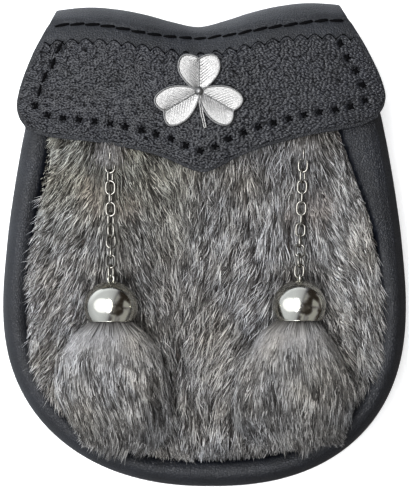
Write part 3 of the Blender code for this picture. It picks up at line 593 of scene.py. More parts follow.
@dataclass(frozen=True)
class SmoothLeather:
    """Black aniline calf, glazed: a fine pore grain, a soft broad sheen and paler rubbed places."""

    name: str = "glazed_calf_leather"
    hide: str = "#0e1016"
    rubbed: str = "#181b23"
    rubbed_mm: float = 15.0
    # Calf grain is finer; it is drawn this coarse so that it shows.
    pore_mm: float = 1.1
    crease_mm: float = 7.0
    roughness: tuple[float, float] = (0.44, 0.55)

    def build(self) -> Material:
        """Makes the material. Its attribute `sunk` is 1 in the crease beside the fur, where the sheen is cut as
        painted shade.
        """
        tree = Shading.of_material(self.name)
        worn = tree.noise(self.rubbed_mm, 5.0)
        shade = tree.ramp(worn, (0.35, self.hide), (0.75, self.rubbed))
        # The plump cells of the grain, with fine valleys between them that are painted darker as shade.
        pores = tree.cells(self.pore_mm)
        valley_shade = tree.ramp(pores, (0.0, 0.45), (0.24, 1.1))
        creases = tree.noise(self.crease_mm, 4.0, Vector=tree.drawn_out(3.2), Distortion=0.6)
        bent = tree.bump(creases, 0.35, 0.6)
        return tree.shade(
            Base_Color=tree.mix(1.0, shade, valley_shade, "MULTIPLY"),
            Roughness=tree.ramp(worn, (0.3, self.roughness[1]), (0.75, self.roughness[0])),
            # Painted shade: the crease beside the fur loses its sheen, so it stays dull and black.
            Specular_IOR_Level=tree.ramp(tree.attribute("sunk"), (0.0, 0.55), (1.0, 0.06)),
            Normal=tree.bump(tree.ramp(pores, (0.0, 0.0), (0.22, 1.0)), 0.6, 0.26, Normal=bent),
            IOR=1.5,
        )


@dataclass(frozen=True)
class PebbledLeather:
    """Shrunken grain cowhide: domed pebbles with matt creases painted near black as shade, and slightly glossy
    tops.
    """

    name: str = "pebbled_cowhide"
    crease: str = "#040405"
    top: str = "#25272f"
    worn: str = "#1b1b20"
    worn_mm: float = 9.0
    wrinkle_mm: float = 1.25 / 3
    roughness: tuple[float, float] = (0.75, 0.36)

    def build(self) -> Material:
        """Makes the material. Its attribute `grain` is 0 in the creases and 1 on the pebbles' tops; near 0 the
        colour is painted shade.
        """
        tree = Shading.of_material(self.name)
        grain = tree.attribute("grain")
        # Painted shade: near black in the creases and wherever `grain` is low.
        grain_with_shade = tree.ramp(grain, (0.15, self.crease), (0.95, self.top))
        return tree.shade(
            Base_Color=tree.mix(tree.noise(self.worn_mm, 4.0), grain_with_shade, (*linear(self.worn), 1.0), "SOFT_LIGHT"),
            Roughness=tree.ramp(grain, (0.1, self.roughness[0]), (0.9, self.roughness[1])),
            Specular_IOR_Level=tree.ramp(grain, (0.0, 0.04), (0.35, 0.22), (0.9, 0.56)),
            Normal=tree.bump(tree.cells(self.wrinkle_mm), 0.45, 0.16),
            IOR=1.5,
        )


@dataclass(frozen=True)
class RabbitFur:
    """Grizzled rabbit hair: each hair's colour runs along it, and the hair is a little silky."""

    name: str = "grizzled_rabbit_hair"
    patch_mm: float = 22.0
    cool: str = "#f4f7fc"
    warm: str = "#fcfaf5"

    def build(self) -> Material:
        """Makes the material, which takes its colour from the attribute `shade` of each hair."""
        tree = Shading.of_material(self.name)
        tint = tree.ramp(tree.noise(self.patch_mm, 3.0), (0.36, self.cool), (0.68, self.warm))
        colour = tree.mix(1.0, tree.attribute("shade", "Color"), tint, "MULTIPLY")
        return tree.shade(Base_Color=colour, Roughness=0.55, IOR=1.45, Specular_IOR_Level=0.35)


@dataclass(frozen=True)
class Undercoat:
    """Dense soft underfur on its hide: dull, dark and streaked with the lie of the hair."""

    name: str = "rabbit_underfur"
    deep: str = "#2f2a27"
    soft: str = "#6d645e"
    streak_mm: float = 0.7

    def build(self) -> Material:
        """Makes the material."""
        tree = Shading.of_material(self.name)
        streaks = tree.noise(self.streak_mm, 3.0, Vector=tree.drawn_out(0.16), Distortion=0.4)
        colour = tree.ramp(streaks, (0.35, self.deep), (0.7, self.soft))
        relief = tree.bump(streaks, 0.6, 0.4)
        return tree.shade(Base_Color=colour, Normal=relief, Roughness=0.9, Sheen_Weight=0.2)


@dataclass(frozen=True)
class PlatedMetal:
    """Nickel plated brass, buffed: a clear mirror with faint swirls and a few dull spots."""

    name: str = "buffed_nickel_plate"
    colour: str = "#c8c6bc"
    roughness: tuple[float, float] = (0.13, 0.22)
    swirl_mm: float = 3.0

    def build(self) -> Material:
        """Makes the material."""
        tree = Shading.of_material(self.name)
        swirl = tree.noise(self.swirl_mm, 6.0, Roughness=0.7)
        rough = tree.ramp(swirl, (0.45, self.roughness[0]), (0.75, self.roughness[1]))
        base = (*linear(self.colour), 1.0)
        return tree.shade(Base_Color=base, Metallic=1.0, Roughness=rough, Normal=tree.bump(swirl, 0.08, 0.2))


@dataclass(frozen=True)
class CastWhiteMetal:
    """Silver coloured cast pewter, tumbled bright: fine sand from the mould and soft highlights."""

    name: str = "cast_white_metal"
    low: str = "#605f5f"
    high: str = "#989795"
    sand_mm: float = 0.35

    def build(self) -> Material:
        """Makes the material."""
        tree = Shading.of_material(self.name)
        sand = tree.noise(self.sand_mm, 4.0)
        colour = tree.ramp(sand, (0.25, self.low), (0.6, self.high))
        rough = tree.ramp(sand, (0.3, 0.48), (0.7, 0.34))
        return tree.shade(Base_Color=colour, Metallic=1.0, Roughness=rough, Normal=tree.bump(sand, 0.4, 0.08))


@dataclass(frozen=True)
class WaxedThread:
    """Black waxed linen thread: dull, with the twist of its plies."""

    name: str = "waxed_linen_thread"
    colour: str = "#060607"
    between: str = "#020203"
    ply_mm: float = 0.5

    def build(self) -> Material:
        """Makes the material."""
        tree = Shading.of_material(self.name)
        links = {"Vector": tree.where, "Scale": 0.3 / (self.ply_mm * MM), "Distortion": 1.5}
        twist = tree.node("TexWave", links, bands_direction="DIAGONAL").outputs["Fac"]
        colour = tree.ramp(twist, (0.2, self.between), (0.9, self.colour))
        relief = tree.bump(twist, 0.4, 0.1)
        return tree.shade(Base_Color=colour, Normal=relief, Roughness=0.8, Specular_IOR_Level=0.06)


@dataclass(frozen=True)
class StoveEnamel:
    """Black enamelled press stud: satin, with a fine orange peel."""

    name: str = "stoved_black_enamel"
    colour: str = "#101011"
    peel_mm: float = 0.8

    def build(self) -> Material:
        """Makes the material."""
        tree = Shading.of_material(self.name)
        peel = tree.noise(self.peel_mm, 2.0)
        rough = tree.ramp(peel, (0.3, 0.38), (0.7, 0.28))
        colour = (*linear(self.colour), 1.0)
        return tree.shade(Base_Color=colour, Roughness=rough, Normal=tree.bump(peel, 0.2, 0.05))


@dataclass(frozen=True)
class PaperFloor:
    """Matt white background paper that glows round the pouch as painted light, fading further out."""

    name: str = "white_background_paper"
    colour: str = "#fafafa"
    fibre: str = "#f6f6f6"
    fibre_mm: float = 2.0
    glow: float = 0.5
    glow_reach: float = 0.45

    def build(self) -> Material:
        """Makes the material."""
        tree = Shading.of_material(self.name)
        far = tree.node("VectorMath", {0: tree.where}, operation="LENGTH").outputs["Value"]
        reach = self.glow_reach
        fading = {"From Min": reach * 0.5, "From Max": reach, "To Min": self.glow, "To Max": 0.0}
        return tree.shade(
            Base_Color=tree.ramp(tree.noise(self.fibre_mm, 3.0), (0.0, self.fibre), (1.0, self.colour)),
            # Painted light: the paper glows round the pouch and fades out further away, so its shadows wash
            # out.
            Emission_Color=(1.0, 1.0, 1.0, 1.0),
            Emission_Strength=tree.node("MapRange", {"Value": far, **fading}).outputs[0],
            Roughness=0.95,
            Specular_IOR_Level=0.0,
        )


class Finish(Enum):
    """The finishes that pieces choose from."""

    CALF = SmoothLeather()
    PEBBLED = PebbledLeather()
    FUR = RabbitFur()
    UNDERFUR = Undercoat()
    NICKEL = PlatedMetal()
    WIRE = PlatedMetal("nickel_plated_wire", "#918e87", (0.1, 0.22), 1.5)
    PEWTER = CastWhiteMetal()
    THREAD = WaxedThread()
    ENAMEL = StoveEnamel()
    PAPER = PaperFloor()

    def material(self) -> Material:
        """The finish as a material, made once."""
        return bpy.data.materials.get(self.value.name) or self.value.build()


# ---------------------------------------------------------------- leather body


@dataclass
class RolledBorder:
    """The gusset: one strip from the seam on the back, up the side and rolled over the front."""

    ribs: tuple[tuple[float, float], ...] = (
        (7.0, 3.9), (2.2, 4.4), (0.7, 10.0), (1.1, 20.0), (2.2, 28.5), (4.7, 33.3),
        (7.8, 34.3), (11.0, 31.6), (13.2, 27.6), (20.5, 26.4),
    )  # fmt: skip
    columns: int = 220
    rows: int = 70
    # The flap's roll holds the strip's ends: the height of its middle, and the radius left inside it.
    roll_y: float = 84.3
    roll_room: float = 15.0
    # How far inside the outline the painted shade starts in the crease beside the fur, where the sheen is cut.
    crease: float = 10.9

    def reach(self, z: float) -> float:
        """How high the strip goes at a height over the back, inside the flap's roll."""
        middle = (FLAP_FRONT_Z - 2.0 + FLAP_TAIL_Z) / 2
        across = abs(z - middle) + LEATHER / 2
        return self.roll_y + math.sqrt(max(self.roll_room**2 - across**2, 0.0))

    def profile(self) -> np.ndarray:
        """The strip's section as a smooth line of (inset, z) through the ribs."""
        marks = np.array(self.ribs)
        before = np.vstack([2 * marks[0] - marks[1], marks[:-1]])
        after = np.vstack([marks[1:], 2 * marks[-1] - marks[-2]])
        slopes = (after - before) / 2
        places = np.linspace(0, len(marks) - 1, self.rows + 1)
        i = np.minimum(places.astype(int), len(marks) - 2)
        return cubic((places - i)[:, None], (marks[i], marks[i + 1]), (slopes[i], slopes[i + 1]))

    def form(self, u: np.ndarray, v: np.ndarray) -> np.ndarray:
        """The middle of the strip for shares along the outline and across it."""
        section = self.profile()
        k = np.rint(v * self.rows).astype(int)
        spots = np.empty((len(u), 3))
        for row, (inset, z) in enumerate(section):
            here = k == row
            spots[here, :2] = BODY_OUTLINE.inset(inset).below(self.reach(z)).at(u[here])
            spots[here, 2] = z
        # The hand-formed roll is never quite even: shallow swells along its length.
        swell = 0.35 * np.sin(u * 61) * np.sin(u * 23 + 1.3)
        spots[:, 2] += swell * smoothstep(22, 33, spots[:, 2])
        inset, z = section[k].T
        x, y, level = spots[:, 0], spots[:, 1], level_lip(inset, spots[:, 1])
        inner = (inset > 2.2) & (z > 25)
        spots[:, 2] += np.where(inner, (level - spots[:, 2]) * lip_share(x, y), 0.0)
        return spots

    def build(self) -> None:
        """Makes the strip, gives it the leather's thickness and marks its crease, where the finish paints
        shade.
        """
        strip = formed_sheet("rolled_border", self.columns, self.rows, self.form)
        thicken(strip, LEATHER)
        x, y, z = (points_of(strip) / MM - (0.0, SHIFT_Y, 0.0)).T
        depth = BODY_OUTLINE.depth_of(np.column_stack([x, y]))
        under_lip = np.maximum(LIP_END.held(y) - 0.3, self.crease)
        crease = np.where((x > 0) & (y > -30), under_lip, self.crease)
        # Painted shade: 1 in the crease beside the fur.
        add_attribute(strip, "sunk", smoothstep(-0.9, 0.9, depth - crease) * (z > 20))
        finish_piece(strip, Finish.CALF, ["gusset_border"])


def stitch_bar(length: float, thickness: float, rise: float = 0.6) -> Object:
    """One stitch lying along X: a short thread whose ends dive into their holes.

    Args:
        length: Its length in millimetres.
        thickness: Its thickness in millimetres.
        rise: How flat it is pulled, as a share of its thickness.

    Returns:
        The pattern at the origin.
    """
    bar = primitive(bpy.ops.mesh.primitive_uv_sphere_add, segments=8, ring_count=6, radius=0.5)
    with editing(bar):
        bpy.ops.transform.resize(value=(length * MM, thickness * MM, thickness * rise * MM))
    spots = points_of(bar)
    along = spots[:, 0] / (length * MM / 2)
    spots[:, 0] = np.sign(along) * np.abs(along) ** 0.7 * length * MM / 2
    spots[:, 2] -= along**4 * thickness * 0.45 * MM
    move_points(bar, spots)
    return bar


def sewn(name: str, slot: str, stitches: Iterable[tuple[Object, Matrix]], *patterns: Object) -> None:
    """Lays stitches as one piece of thread and removes their patterns."""
    laid = [copy_at(pattern, matrix) for pattern, matrix in stitches]
    discard(*patterns)
    finish_piece(joined(name, laid), Finish.THREAD)


@dataclass
class BackSeam:
    """The stitches that join the strip to the back panel, a saddle stitch with short bars."""

    inset: float = 4.4
    pitch: float = 6.0
    length: float = 4.2
    thickness: float = 0.75
    top_y: float = 84.0
    height: float = 0.05

    def build(self) -> None:
        """Lays the stitches along the back, half sunk in the leather."""
        line = BODY_OUTLINE.inset(self.inset).below(self.top_y)
        count = round(line.lengths[-1] / self.pitch)
        bar = stitch_bar(self.length, self.thickness)
        stitches = []
        for i in range(count):
            ahead = line.at((i + 0.6) / count) - line.at((i + 0.4) / count)
            place = (*line.at((i + 0.5) / count), self.height)
            stitches.append((bar, place_matrix(*place, math.atan2(ahead[1], ahead[0]))))
        sewn("back_seam_thread", "smooth_leather", stitches, bar)


# ---------------------------------------------------------------- flap


def flap_front_z(x: np.ndarray) -> np.ndarray:
    """Height of the middle of the flap's front."""
    return FLAP_FRONT_Z - FLAP_DROOP * (x / FLAP_DROOP_AT) ** 2


def fold_radius(x: np.ndarray) -> np.ndarray:
    """Radius of the roll over the top."""
    return (flap_front_z(x) - FLAP_TAIL_Z) / 2


def fold_y(x: np.ndarray) -> np.ndarray:
    """The top of the roll, with two humps and a dip."""
    return FLAP_FOLD.at(np.abs(x)) - FLAP_FOLD_TILT * x


def fold_start(x: np.ndarray) -> np.ndarray:
    """Where the front turns into the roll."""
    return fold_y(x) - fold_radius(x)


def seam_y(x: np.ndarray) -> np.ndarray:
    """The seam below the fold."""
    return fold_y(x) - SEAM_DEPTH.at(x)


def flap_low_y(across: np.ndarray) -> np.ndarray:
    """The flap's pointed lower edge at a share of its half width."""
    return FLAP_LOWER.at(np.abs(across) * FLAP_CORNER_X)


def flap_surface_z(x: np.ndarray, y: np.ndarray, lift: float) -> np.ndarray:
    """Height over the flap's middle at a lift, falling along the roll behind the front."""
    past = np.clip(y - fold_start(x), 0.0, None)
    outer = fold_radius(x) + lift
    return flap_front_z(x) + lift - (outer - np.sqrt(np.clip(outer**2 - past**2, 0.0, None)))


def from_flap(points: np.ndarray) -> np.ndarray:
    """Points of the flap's own turned frame in the outline's frame."""
    points = np.array(points, float)
    x, y = points[..., 0].copy(), points[..., 1] - FLAP_PIVOT_Y
    c, s = math.cos(FLAP_TURN), math.sin(FLAP_TURN)
    points[..., 0] = FLAP_PIVOT_X + c * x - s * y
    points[..., 1] = FLAP_PIVOT_Y + s * x + c * y
    return points


def to_flap(x: np.ndarray, y: np.ndarray) -> tuple[np.ndarray, np.ndarray]:
    """Places of the outline's frame in the flap's own turned frame."""
    c, s = math.cos(FLAP_TURN), math.sin(FLAP_TURN)
    x, y = x - FLAP_PIVOT_X, y - FLAP_PIVOT_Y
    return c * x + s * y, FLAP_PIVOT_Y - s * x + c * y


@dataclass
class FoldedFlap:
    """The calf flap: tail inside the back, roll over the top, front down to its pointed edge."""

    columns: int = 136
    roll_rows: int = 48
    front_rows: int = 28
    tail_y: float = 62.0
    tail_half: float = 59.0
    tail_spread: float = 3.0
    edge_round: float = 0.45

    @staticmethod
    def side_at(reach: np.ndarray | float) -> np.ndarray:
        """Half width of the outer roll at a share of its reach, on the flap's outline."""
        half = np.full(np.shape(reach), 68.0)
        for _ in range(12):
            half = FLAP_SIDE.at(fold_start(half) + fold_radius(half) * reach)
        return half

    def form(self, u: np.ndarray, v: np.ndarray) -> np.ndarray:
        """The middle of the sheet for shares across and along it."""
        across = 2 * u - 1
        k = np.rint(v * (1 + self.roll_rows + self.front_rows))
        turn = np.clip((k - 1) / self.roll_rows, 0, 1) * math.pi
        reach = np.sin(turn)
        front = self.side_at(reach)
        tail = np.minimum(self.tail_half + self.tail_spread * reach, front)
        x_roll = across * np.where(turn > math.pi / 2, front, tail)
        radius = fold_radius(x_roll)
        y_roll = fold_start(x_roll) + radius * reach
        z_roll = FLAP_TAIL_Z + radius * (1 - np.cos(turn))
        side_fold = fold_start(self.side_at(0.0))
        t = np.clip((k - 1 - self.roll_rows) / self.front_rows, 0, 1)
        x_front = across * FLAP_SIDE.at(side_fold + (FLAP_CORNER_Y - side_fold) * t)
        y_front = fold_start(x_front) + (flap_low_y(across) - fold_start(x_front)) * t
        on_front, on_tail = k > 1 + self.roll_rows, k == 0
        x = np.where(on_tail, across * self.tail_half, np.where(on_front, x_front, x_roll))
        y = np.where(on_tail, self.tail_y, np.where(on_front, y_front, y_roll))
        z = np.where(on_tail, FLAP_TAIL_Z, np.where(on_front, flap_front_z(x_front), z_roll))
        # The seam pulls a groove into the leather, so the fold above it stands up like piping.
        beside = y - seam_y(x)
        groove = 0.75 * hump(beside, 1.1) - 0.3 * hump(beside - 2.6, 1.6)
        z = z - np.where(z > FLAP_TAIL_Z + 18, groove, 0.0)
        return from_flap(np.column_stack([x, y, z]))

    def build(self) -> None:
        """Makes the sheet, thickens it and rounds its cut edge."""
        sheet = formed_sheet("folded_flap", self.columns, 1 + self.roll_rows + self.front_rows, self.form)
        thicken(sheet, LEATHER)
        edge = math.radians(60)
        apply_modifier(sheet, "BEVEL", width=self.edge_round * MM, segments=2, limit_method="ANGLE",
                       angle_limit=edge)  # fmt: skip
        finish_piece(sheet, Finish.CALF, ["flap"])


def cell_noise(x: np.ndarray, y: np.ndarray, seed: int) -> tuple[np.ndarray, np.ndarray]:
    """Distances to the nearest and second nearest of jittered points, one in each unit cell.

    Args:
        x: Places across, in cells.
        y: Places along, in cells.
        seed: Picks the pattern.

    Returns:
        The two distances at each place.
    """
    base_x, base_y = np.floor(x).astype(int), np.floor(y).astype(int)
    table = np.random.default_rng(seed).random((256, 256, 2))
    found = []
    for i in (-1, 0, 1):
        for k in (-1, 0, 1):
            cx, cy = base_x + i, base_y + k
            jitter = table[cx % 256, cy % 256]
            found.append(np.hypot(cx + jitter[:, 0] - x, cy + jitter[:, 1] - y))
    near = np.sort(np.array(found), axis=0)
    return near[0], near[1]


@dataclass
class PebbledOverlay:
    """The pebbled layer on the flap: pinked along its top and stitched all round."""

    thickness: float = 1.2
    inset: float = 1.0
    rim: float = 1.6
    teeth: int = 23
    tooth: float = 2.5
    teeth_start: float = -71.5
    teeth_width: float = 144.0
    steps_per_tooth: int = 6
    rows: int = 56
    side_top: float = 91.5
    pebble: float = 1.25
    grain_depth: float = 0.3
    wrinkle: tuple[float, float] = (5.0, 3.1)
    wrinkle_depth: float = 0.24
    stitch_inset: float = 7.3
    stitch_pitch: float = 6.8
    stitch_hollow: float = 0.8
    hollow_radius: float = 1.75

    def lift(self) -> float:
        """How far the layer's middle lies over the flap's."""
        return LEATHER / 2 + GAP + self.thickness / 2

    def top_y(self, x: np.ndarray) -> np.ndarray:
        """The pinked edge: round teeth with sharp hollows, a depth below the fold."""
        wave = np.abs(np.sin(math.pi * self.teeth * (x - self.teeth_start) / self.teeth_width)) ** 0.9
        return fold_y(x) - OVERLAY_DEPTH.at(np.abs(x)) - self.tooth * (1 - wave)

    def form(self, u: np.ndarray, v: np.ndarray) -> np.ndarray:
        """The middle of the layer for shares across and along it, from its top down."""
        across, t = 2 * u - 1, 1 - v
        x = across * (FLAP_SIDE.at(self.side_top + (FLAP_CORNER_Y - self.side_top) * t) - self.inset)
        start = self.top_y(x)
        y = start + (flap_low_y(across) + self.rim - start) * t
        return from_flap(np.column_stack([x, y, flap_surface_z(x, y, self.lift())]))

    def outline(self) -> Outline:
        """The layer's left, lower and right edges in the outline's frame."""
        side, along = np.linspace(0, 1, 60), np.linspace(0, 1, 200)
        left = self.form(np.zeros(60), 1 - side)[:, :2]
        low = self.form(along, np.zeros(200))[:, :2]
        right = self.form(np.ones(60), side)[:, :2]
        return Outline(np.vstack([left, low[1:-1], right]))

    def stitch_places(self) -> list[tuple[float, float, float]]:
        """The perimeter's stitches as (x, y, turn), inside the sides and the lower edge."""
        line = self.outline().inset(self.stitch_inset).points
        # Straight on from the first and last stretches, up to the pinked edge.
        first = line[0] + 0.2 * (line[0] - line[12])
        last = line[-1] + 0.75 * (line[-1] - line[-13])
        marks = Outline(np.vstack([first, line, last])).at(np.linspace(0, 1, 1500))
        places: list[tuple[float, float, float]] = []
        for before, place, after in zip(marks, marks[10:], marks[20:]):
            if not places or math.dist(places[-1][:2], place) >= self.stitch_pitch:
                ahead = after - before
                places.append((*place, math.atan2(ahead[1], ahead[0])))
        return places

    def build(self) -> None:
        """Makes the layer and presses its grain and stitch hollows into the upper face."""
        layer = formed_sheet("pebbled_overlay", self.teeth * self.steps_per_tooth, self.rows, self.form)
        thicken(layer, self.thickness)
        with editing(layer, lambda face: face.normal.z > 0.4, "FACE"):
            bpy.ops.mesh.subdivide(number_cuts=2)
        self.press_grain(layer)
        finish_piece(layer, Finish.PEBBLED, ["flap_overlay"], 60.0)

    def pebbles(self, x: np.ndarray, y: np.ndarray) -> tuple[np.ndarray, np.ndarray]:
        """The grain's relief in millimetres, and its share from 0 in the creases to 1 on the tops, lowered in
        the broad wrinkles as painted shade.
        """
        # The hide was stretched sideways on the right, so its pebbles are longer there.
        stretched = smoothstep(5, 55, x)
        warp = 0.35 * np.sin(y * 0.31 + 0.6 * np.sin(x * 0.17)) + 0.3 * np.sin(x * 0.23 + y * 0.11)
        across = (x - 0.27 * np.clip(x - 5, 0, None)) / (self.pebble * 1.02)
        along = (y + 0.22 * x + warp * 0.4) / (self.pebble * 0.76)
        first, second = cell_noise(across + warp * 0.3, along, 5)
        grain = smoothstep(-0.06, 0.33, second - first)
        wide, high = self.wrinkle
        broad, other = cell_noise(x / (wide + 3.0 * stretched.mean()), y / high, 9)
        crease = smoothstep(0.0, 0.12, other - broad)
        dome = self.grain_depth * (grain - 0.75) + 0.26 * (0.22 - first**2)
        height = (dome + self.wrinkle_depth * (crease - 1.0)) * (1 - 0.25 * stretched) + 0.16 * (broad - 0.45)
        # The broad wrinkles darken the grain's share: painted shade.
        return height, grain * (0.6 + 0.4 * crease)

    def press_grain(self, layer: Object) -> None:
        """Moves the upper face's points into pebbles and dents, and keeps the grain as an attribute, with
        painted shade at the cut edge, in the stitch hollows and on the sides.
        """
        spots, normals = points_of(layer), points_of(layer, "normal")
        x, y = spots[:, 0] / MM, spots[:, 1] / MM
        height, grain = self.pebbles(x, y)
        # The pinking shears bevel the edge, and the bevel is painted darkest as the shadow line along the
        # teeth.
        own_x, own_y = to_flap(x, y - SHIFT_Y)
        beside = self.top_y(own_x) - own_y
        plain = 1 - smoothstep(0.7, 1.2, beside)
        cut = 1 - smoothstep(0.5, 0.8, beside)
        height = height * (1 - plain) + 0.25 * hump(beside - 1.1, 0.5) - 0.35 * cut
        grain = (grain + (0.8 - grain) * plain) * (1 - cut)
        for stitch_x, stitch_y, _ in self.stitch_places():
            hollow = hump(np.hypot(x - stitch_x, y - (stitch_y + SHIFT_Y)), self.hollow_radius)
            height -= self.stitch_hollow * hollow
            # Painted shade in each stitch hollow.
            grain = grain * (1 - 0.45 * hollow)
        # Faces turned up only: the rim keeps its shape.
        top = normals[:, 2] > 0.5
        move_points(layer, spots + normals * (height * top * MM)[:, None])
        # The sides keep grain 0, the creases' near black: painted shade.
        add_attribute(layer, "grain", grain * top)


@dataclass
class FlapStitching:
    """Thread on the flap: long bars along the fold and small crosses round the pebbled layer."""

    overlay: PebbledOverlay
    pitch: float = 6.7
    length: float = 7.9
    thickness: float = 1.85
    reach: float = 60.0
    bar_lean: float = 0.13
    sunk: float = 0.35
    cross: float = 3.9
    cross_thickness: float = 1.15
    cross_turn: float = 0.72
    cross_sunk: float = 0.25
    long_arm: float = 8.3
    # Where the thread runs on from hole to hole: left of this x and above this y.
    long_arms_at: tuple[float, float] = (-58.0, 62.0)

    def on_seam(self, x: float) -> np.ndarray:
        """A point of the seam on the leather."""
        y = seam_y(x)
        return from_flap(np.array([x, y, flap_surface_z(x, y, LEATHER / 2)]))

    def fold_seam(self) -> None:
        """The row of bars below the fold."""
        bar = stitch_bar(self.length, self.thickness)
        count = round(2 * self.reach / self.pitch)
        stitches = []
        for i in range(count + 1):
            x = -self.reach + 2 * self.reach * i / count
            ahead = self.on_seam(x + 1) - self.on_seam(x - 1)
            past = (seam_y(x) - fold_start(x)) / (fold_radius(x) + LEATHER / 2)
            slope = math.asin(min(max(past, 0.0), 1.0))
            turn = math.atan2(ahead[1], ahead[0]) + self.bar_lean
            place = self.on_seam(x) - (0.0, 0.0, self.sunk)
            stitches.append((bar, place_matrix(*place, turn, -slope)))
        sewn("fold_seam_thread", "smooth_leather", stitches, bar)

    def edge_crosses(self) -> None:
        """The crossed stitches inside the layer's edge, each in its own hollow."""
        arm = stitch_bar(self.cross, self.cross_thickness)
        long_arm = stitch_bar(self.long_arm, self.cross_thickness * 1.15)
        lift = LEATHER / 2 + GAP + self.overlay.thickness
        stitches = []
        for i, (x, y, turn) in enumerate(self.overlay.stitch_places()):
            z = float(flap_surface_z(*to_flap(x, y), lift)) - self.cross_sunk
            lean = 0.25 * math.sin(i * 2.4)
            if x < self.long_arms_at[0] and y > self.long_arms_at[1]:
                stitches.append((long_arm, place_matrix(x, y, z, turn + lean * 0.25)))
                continue
            for k, across in enumerate((self.cross_turn, -self.cross_turn)):
                stitches.append((arm, place_matrix(x, y, z + 0.12 * k, turn + across + lean)))
        sewn("overlay_edge_thread", "pebbled_leather", stitches, arm, long_arm)

    def build(self) -> None:
        """Makes both rows."""
        self.fold_seam()
        self.edge_crosses()


# ---------------------------------------------------------------- badge


@dataclass
class ShamrockBadge:
    """Three veined leaves, a boss and a bent stem, cast in one and pinned through the flap."""

    x: float = -2.3
    y: float = 66.7
    foot: float = 43.5
    # The leaves as (turn in degrees, length, width, depth of the notch).
    leaves: tuple[tuple[float, float, float, float], ...] = (
        (0.0, 16.2, 18.6, 1.6), (120.0, 19.6, 16.8, 1.6), (-120.0, 19.2, 16.8, 1.6),
    )  # fmt: skip
    root: float = 1.2
    blade_rows: int = 9
    edge_height: float = 1.6
    bead_radius: float = 0.42
    vein_height: float = 1.0
    vein_radius: float = 0.34
    side_vein_pitch: float = 1.28
    side_vein_height: float = 1.38
    side_vein_size: tuple[float, float] = (0.52, 0.5)
    side_vein_way: tuple[float, float] = (0.78, 0.63)
    boss_radius: float = 2.2
    boss_height: float = 3.0
    # The stem's middle line and half width as (part of the way, x, y, half width), and half its
    # section as (share of the half width, height).
    stem: tuple[tuple[float, float, float, float], ...] = (
        (0, -0.1, -1.0, 0.9), (1, 0.2, -5.0, 0.9), (2, 1.0, -10.0, 1.0), (3, 2.6, -16.0, 0.85),
    )  # fmt: skip
    stem_bend: float = 0.25
    stem_section: tuple[tuple[float, float], ...] = ((0.0, 1.15), (0.3, 1.75), (0.62, 1.75), (1, 1.0), (1, 0.0))

    def leaf_edge(self, length: float, width: float, notch: float) -> np.ndarray:
        """Half of a heart from its base round a lobe to the notch, in millimetres."""
        w = width / 2
        side, top, end = (w, length * 0.68), (w * 0.54, length), (0, length - notch)
        runs = (
            (16, (0, -self.root), (w * 0.42, length * 0.12), (w, length * 0.38), side),
            (9, side, (w, length * 0.88), (w * 0.84, length), top),
            (8, top, (w * 0.28, length), (w * 0.1, length - notch * 0.75), end),
        )
        points = []
        for steps, *run in runs:
            a, b, c, d = (np.array(p, float) for p in run)
            for t in np.linspace(0, 1, steps, endpoint=False):
                s = 1 - t
                points.append(a * s**3 + b * 3 * s * s * t + c * 3 * s * t * t + d * t**3)
        return np.array([*points, end])

    def blade_height(self, depth: np.ndarray) -> np.ndarray:
        """Height of a leaf's face at a share of the way from its vein (0) to its edge (1)."""
        dished = self.vein_height + (self.edge_height - self.vein_height) * depth**1.6
        return dished + 0.25 * np.sin(math.pi * depth)

    def blade(self, edge: np.ndarray) -> Object:
        """The dished leaf inside its edge, mirrored over its middle vein."""
        last = len(edge) - 1
        blade, i, k = numbered_grid(last, self.blade_rows)
        middle = edge[0] + (edge[last] - edge[0]) * (i / last)[:, None]
        # The first row is the flat back; the others come in from the edge to the vein.
        out = np.where(k < 2, k, 1 - (k - 2) / (self.blade_rows - 2))
        height = np.where(k < 2, 0.0, self.blade_height(out))
        move_points(blade, raised(middle + (edge[i] - middle) * out[:, None], height) * MM)
        apply_modifier(blade, "MIRROR", use_axis=(True, False, False), merge_threshold=2e-6)
        face_outwards(blade)
        return blade

    def leaf(self, turn: float, length: float, width: float, notch: float) -> list[Object]:
        """One leaf: dished blade, bead round its edge, middle vein and side veins."""
        edge = self.leaf_edge(length, width, notch)
        parts = [self.blade(edge)]
        rim = edge[1:] * (1 - 0.4 / np.linalg.norm(edge[1:], axis=1))[:, None]
        ring = np.vstack([rim, (rim * (-1, 1))[-2::-1]])
        parts.append(tube("bead", ((x, y, self.edge_height + 0.04) for x, y in ring), self.bead_radius))
        top = length - notch - 0.8
        line = [(0, y, self.vein_height + 0.12) for y in (0.5, top / 2, top)]
        parts.append(tube("vein", line, self.vein_radius))
        parts += self.side_veins(edge, top)
        for part in parts:
            part.data.transform(Matrix.Rotation(math.radians(turn), 4, "Z"))
        return parts

    def side_veins(self, edge: np.ndarray, top: float) -> list[Object]:
        """Slanting ribs from the middle vein up and out to the edge, on both halves."""
        rib = primitive(bpy.ops.mesh.primitive_cube_add, size=1.0)
        with editing(rib, lambda face: face.normal.z > 0.5, "FACE"):
            bpy.ops.transform.resize(value=(1.0, 0.35, 1.0))
        veins = []
        way = Vector(self.side_vein_way).normalized()
        for i in range(int((top + 2.0) / self.side_vein_pitch)):
            start = Vector((0.3, -1.0 + i * self.side_vein_pitch * 1.02))
            inside = [t for t in np.arange(0.2, 14, 0.1) if self.in_edge(edge, start + way * float(t))]
            # No stubs: neither at the leaf's base nor in its tip.
            if not inside or start.y + way.y * inside[0] < 1.8:
                continue
            a, b = start + way * float(inside[0]), start + way * float(inside[-1])
            if (b - a).length < 1.6:
                continue
            middle, length = (a + b) / 2, (b - a).length
            for side in (1, -1):
                turned = Matrix.Rotation(math.atan2(way.y, way.x * side), 4, "Z")
                sized = Matrix.Diagonal((length * MM, *(size * MM for size in self.side_vein_size), 1.0))
                spot = Vector((middle.x * side, middle.y, self.side_vein_height)) * MM
                veins.append(copy_at(rib, Matrix.Translation(spot) @ turned @ sized))
        discard(rib)
        return veins

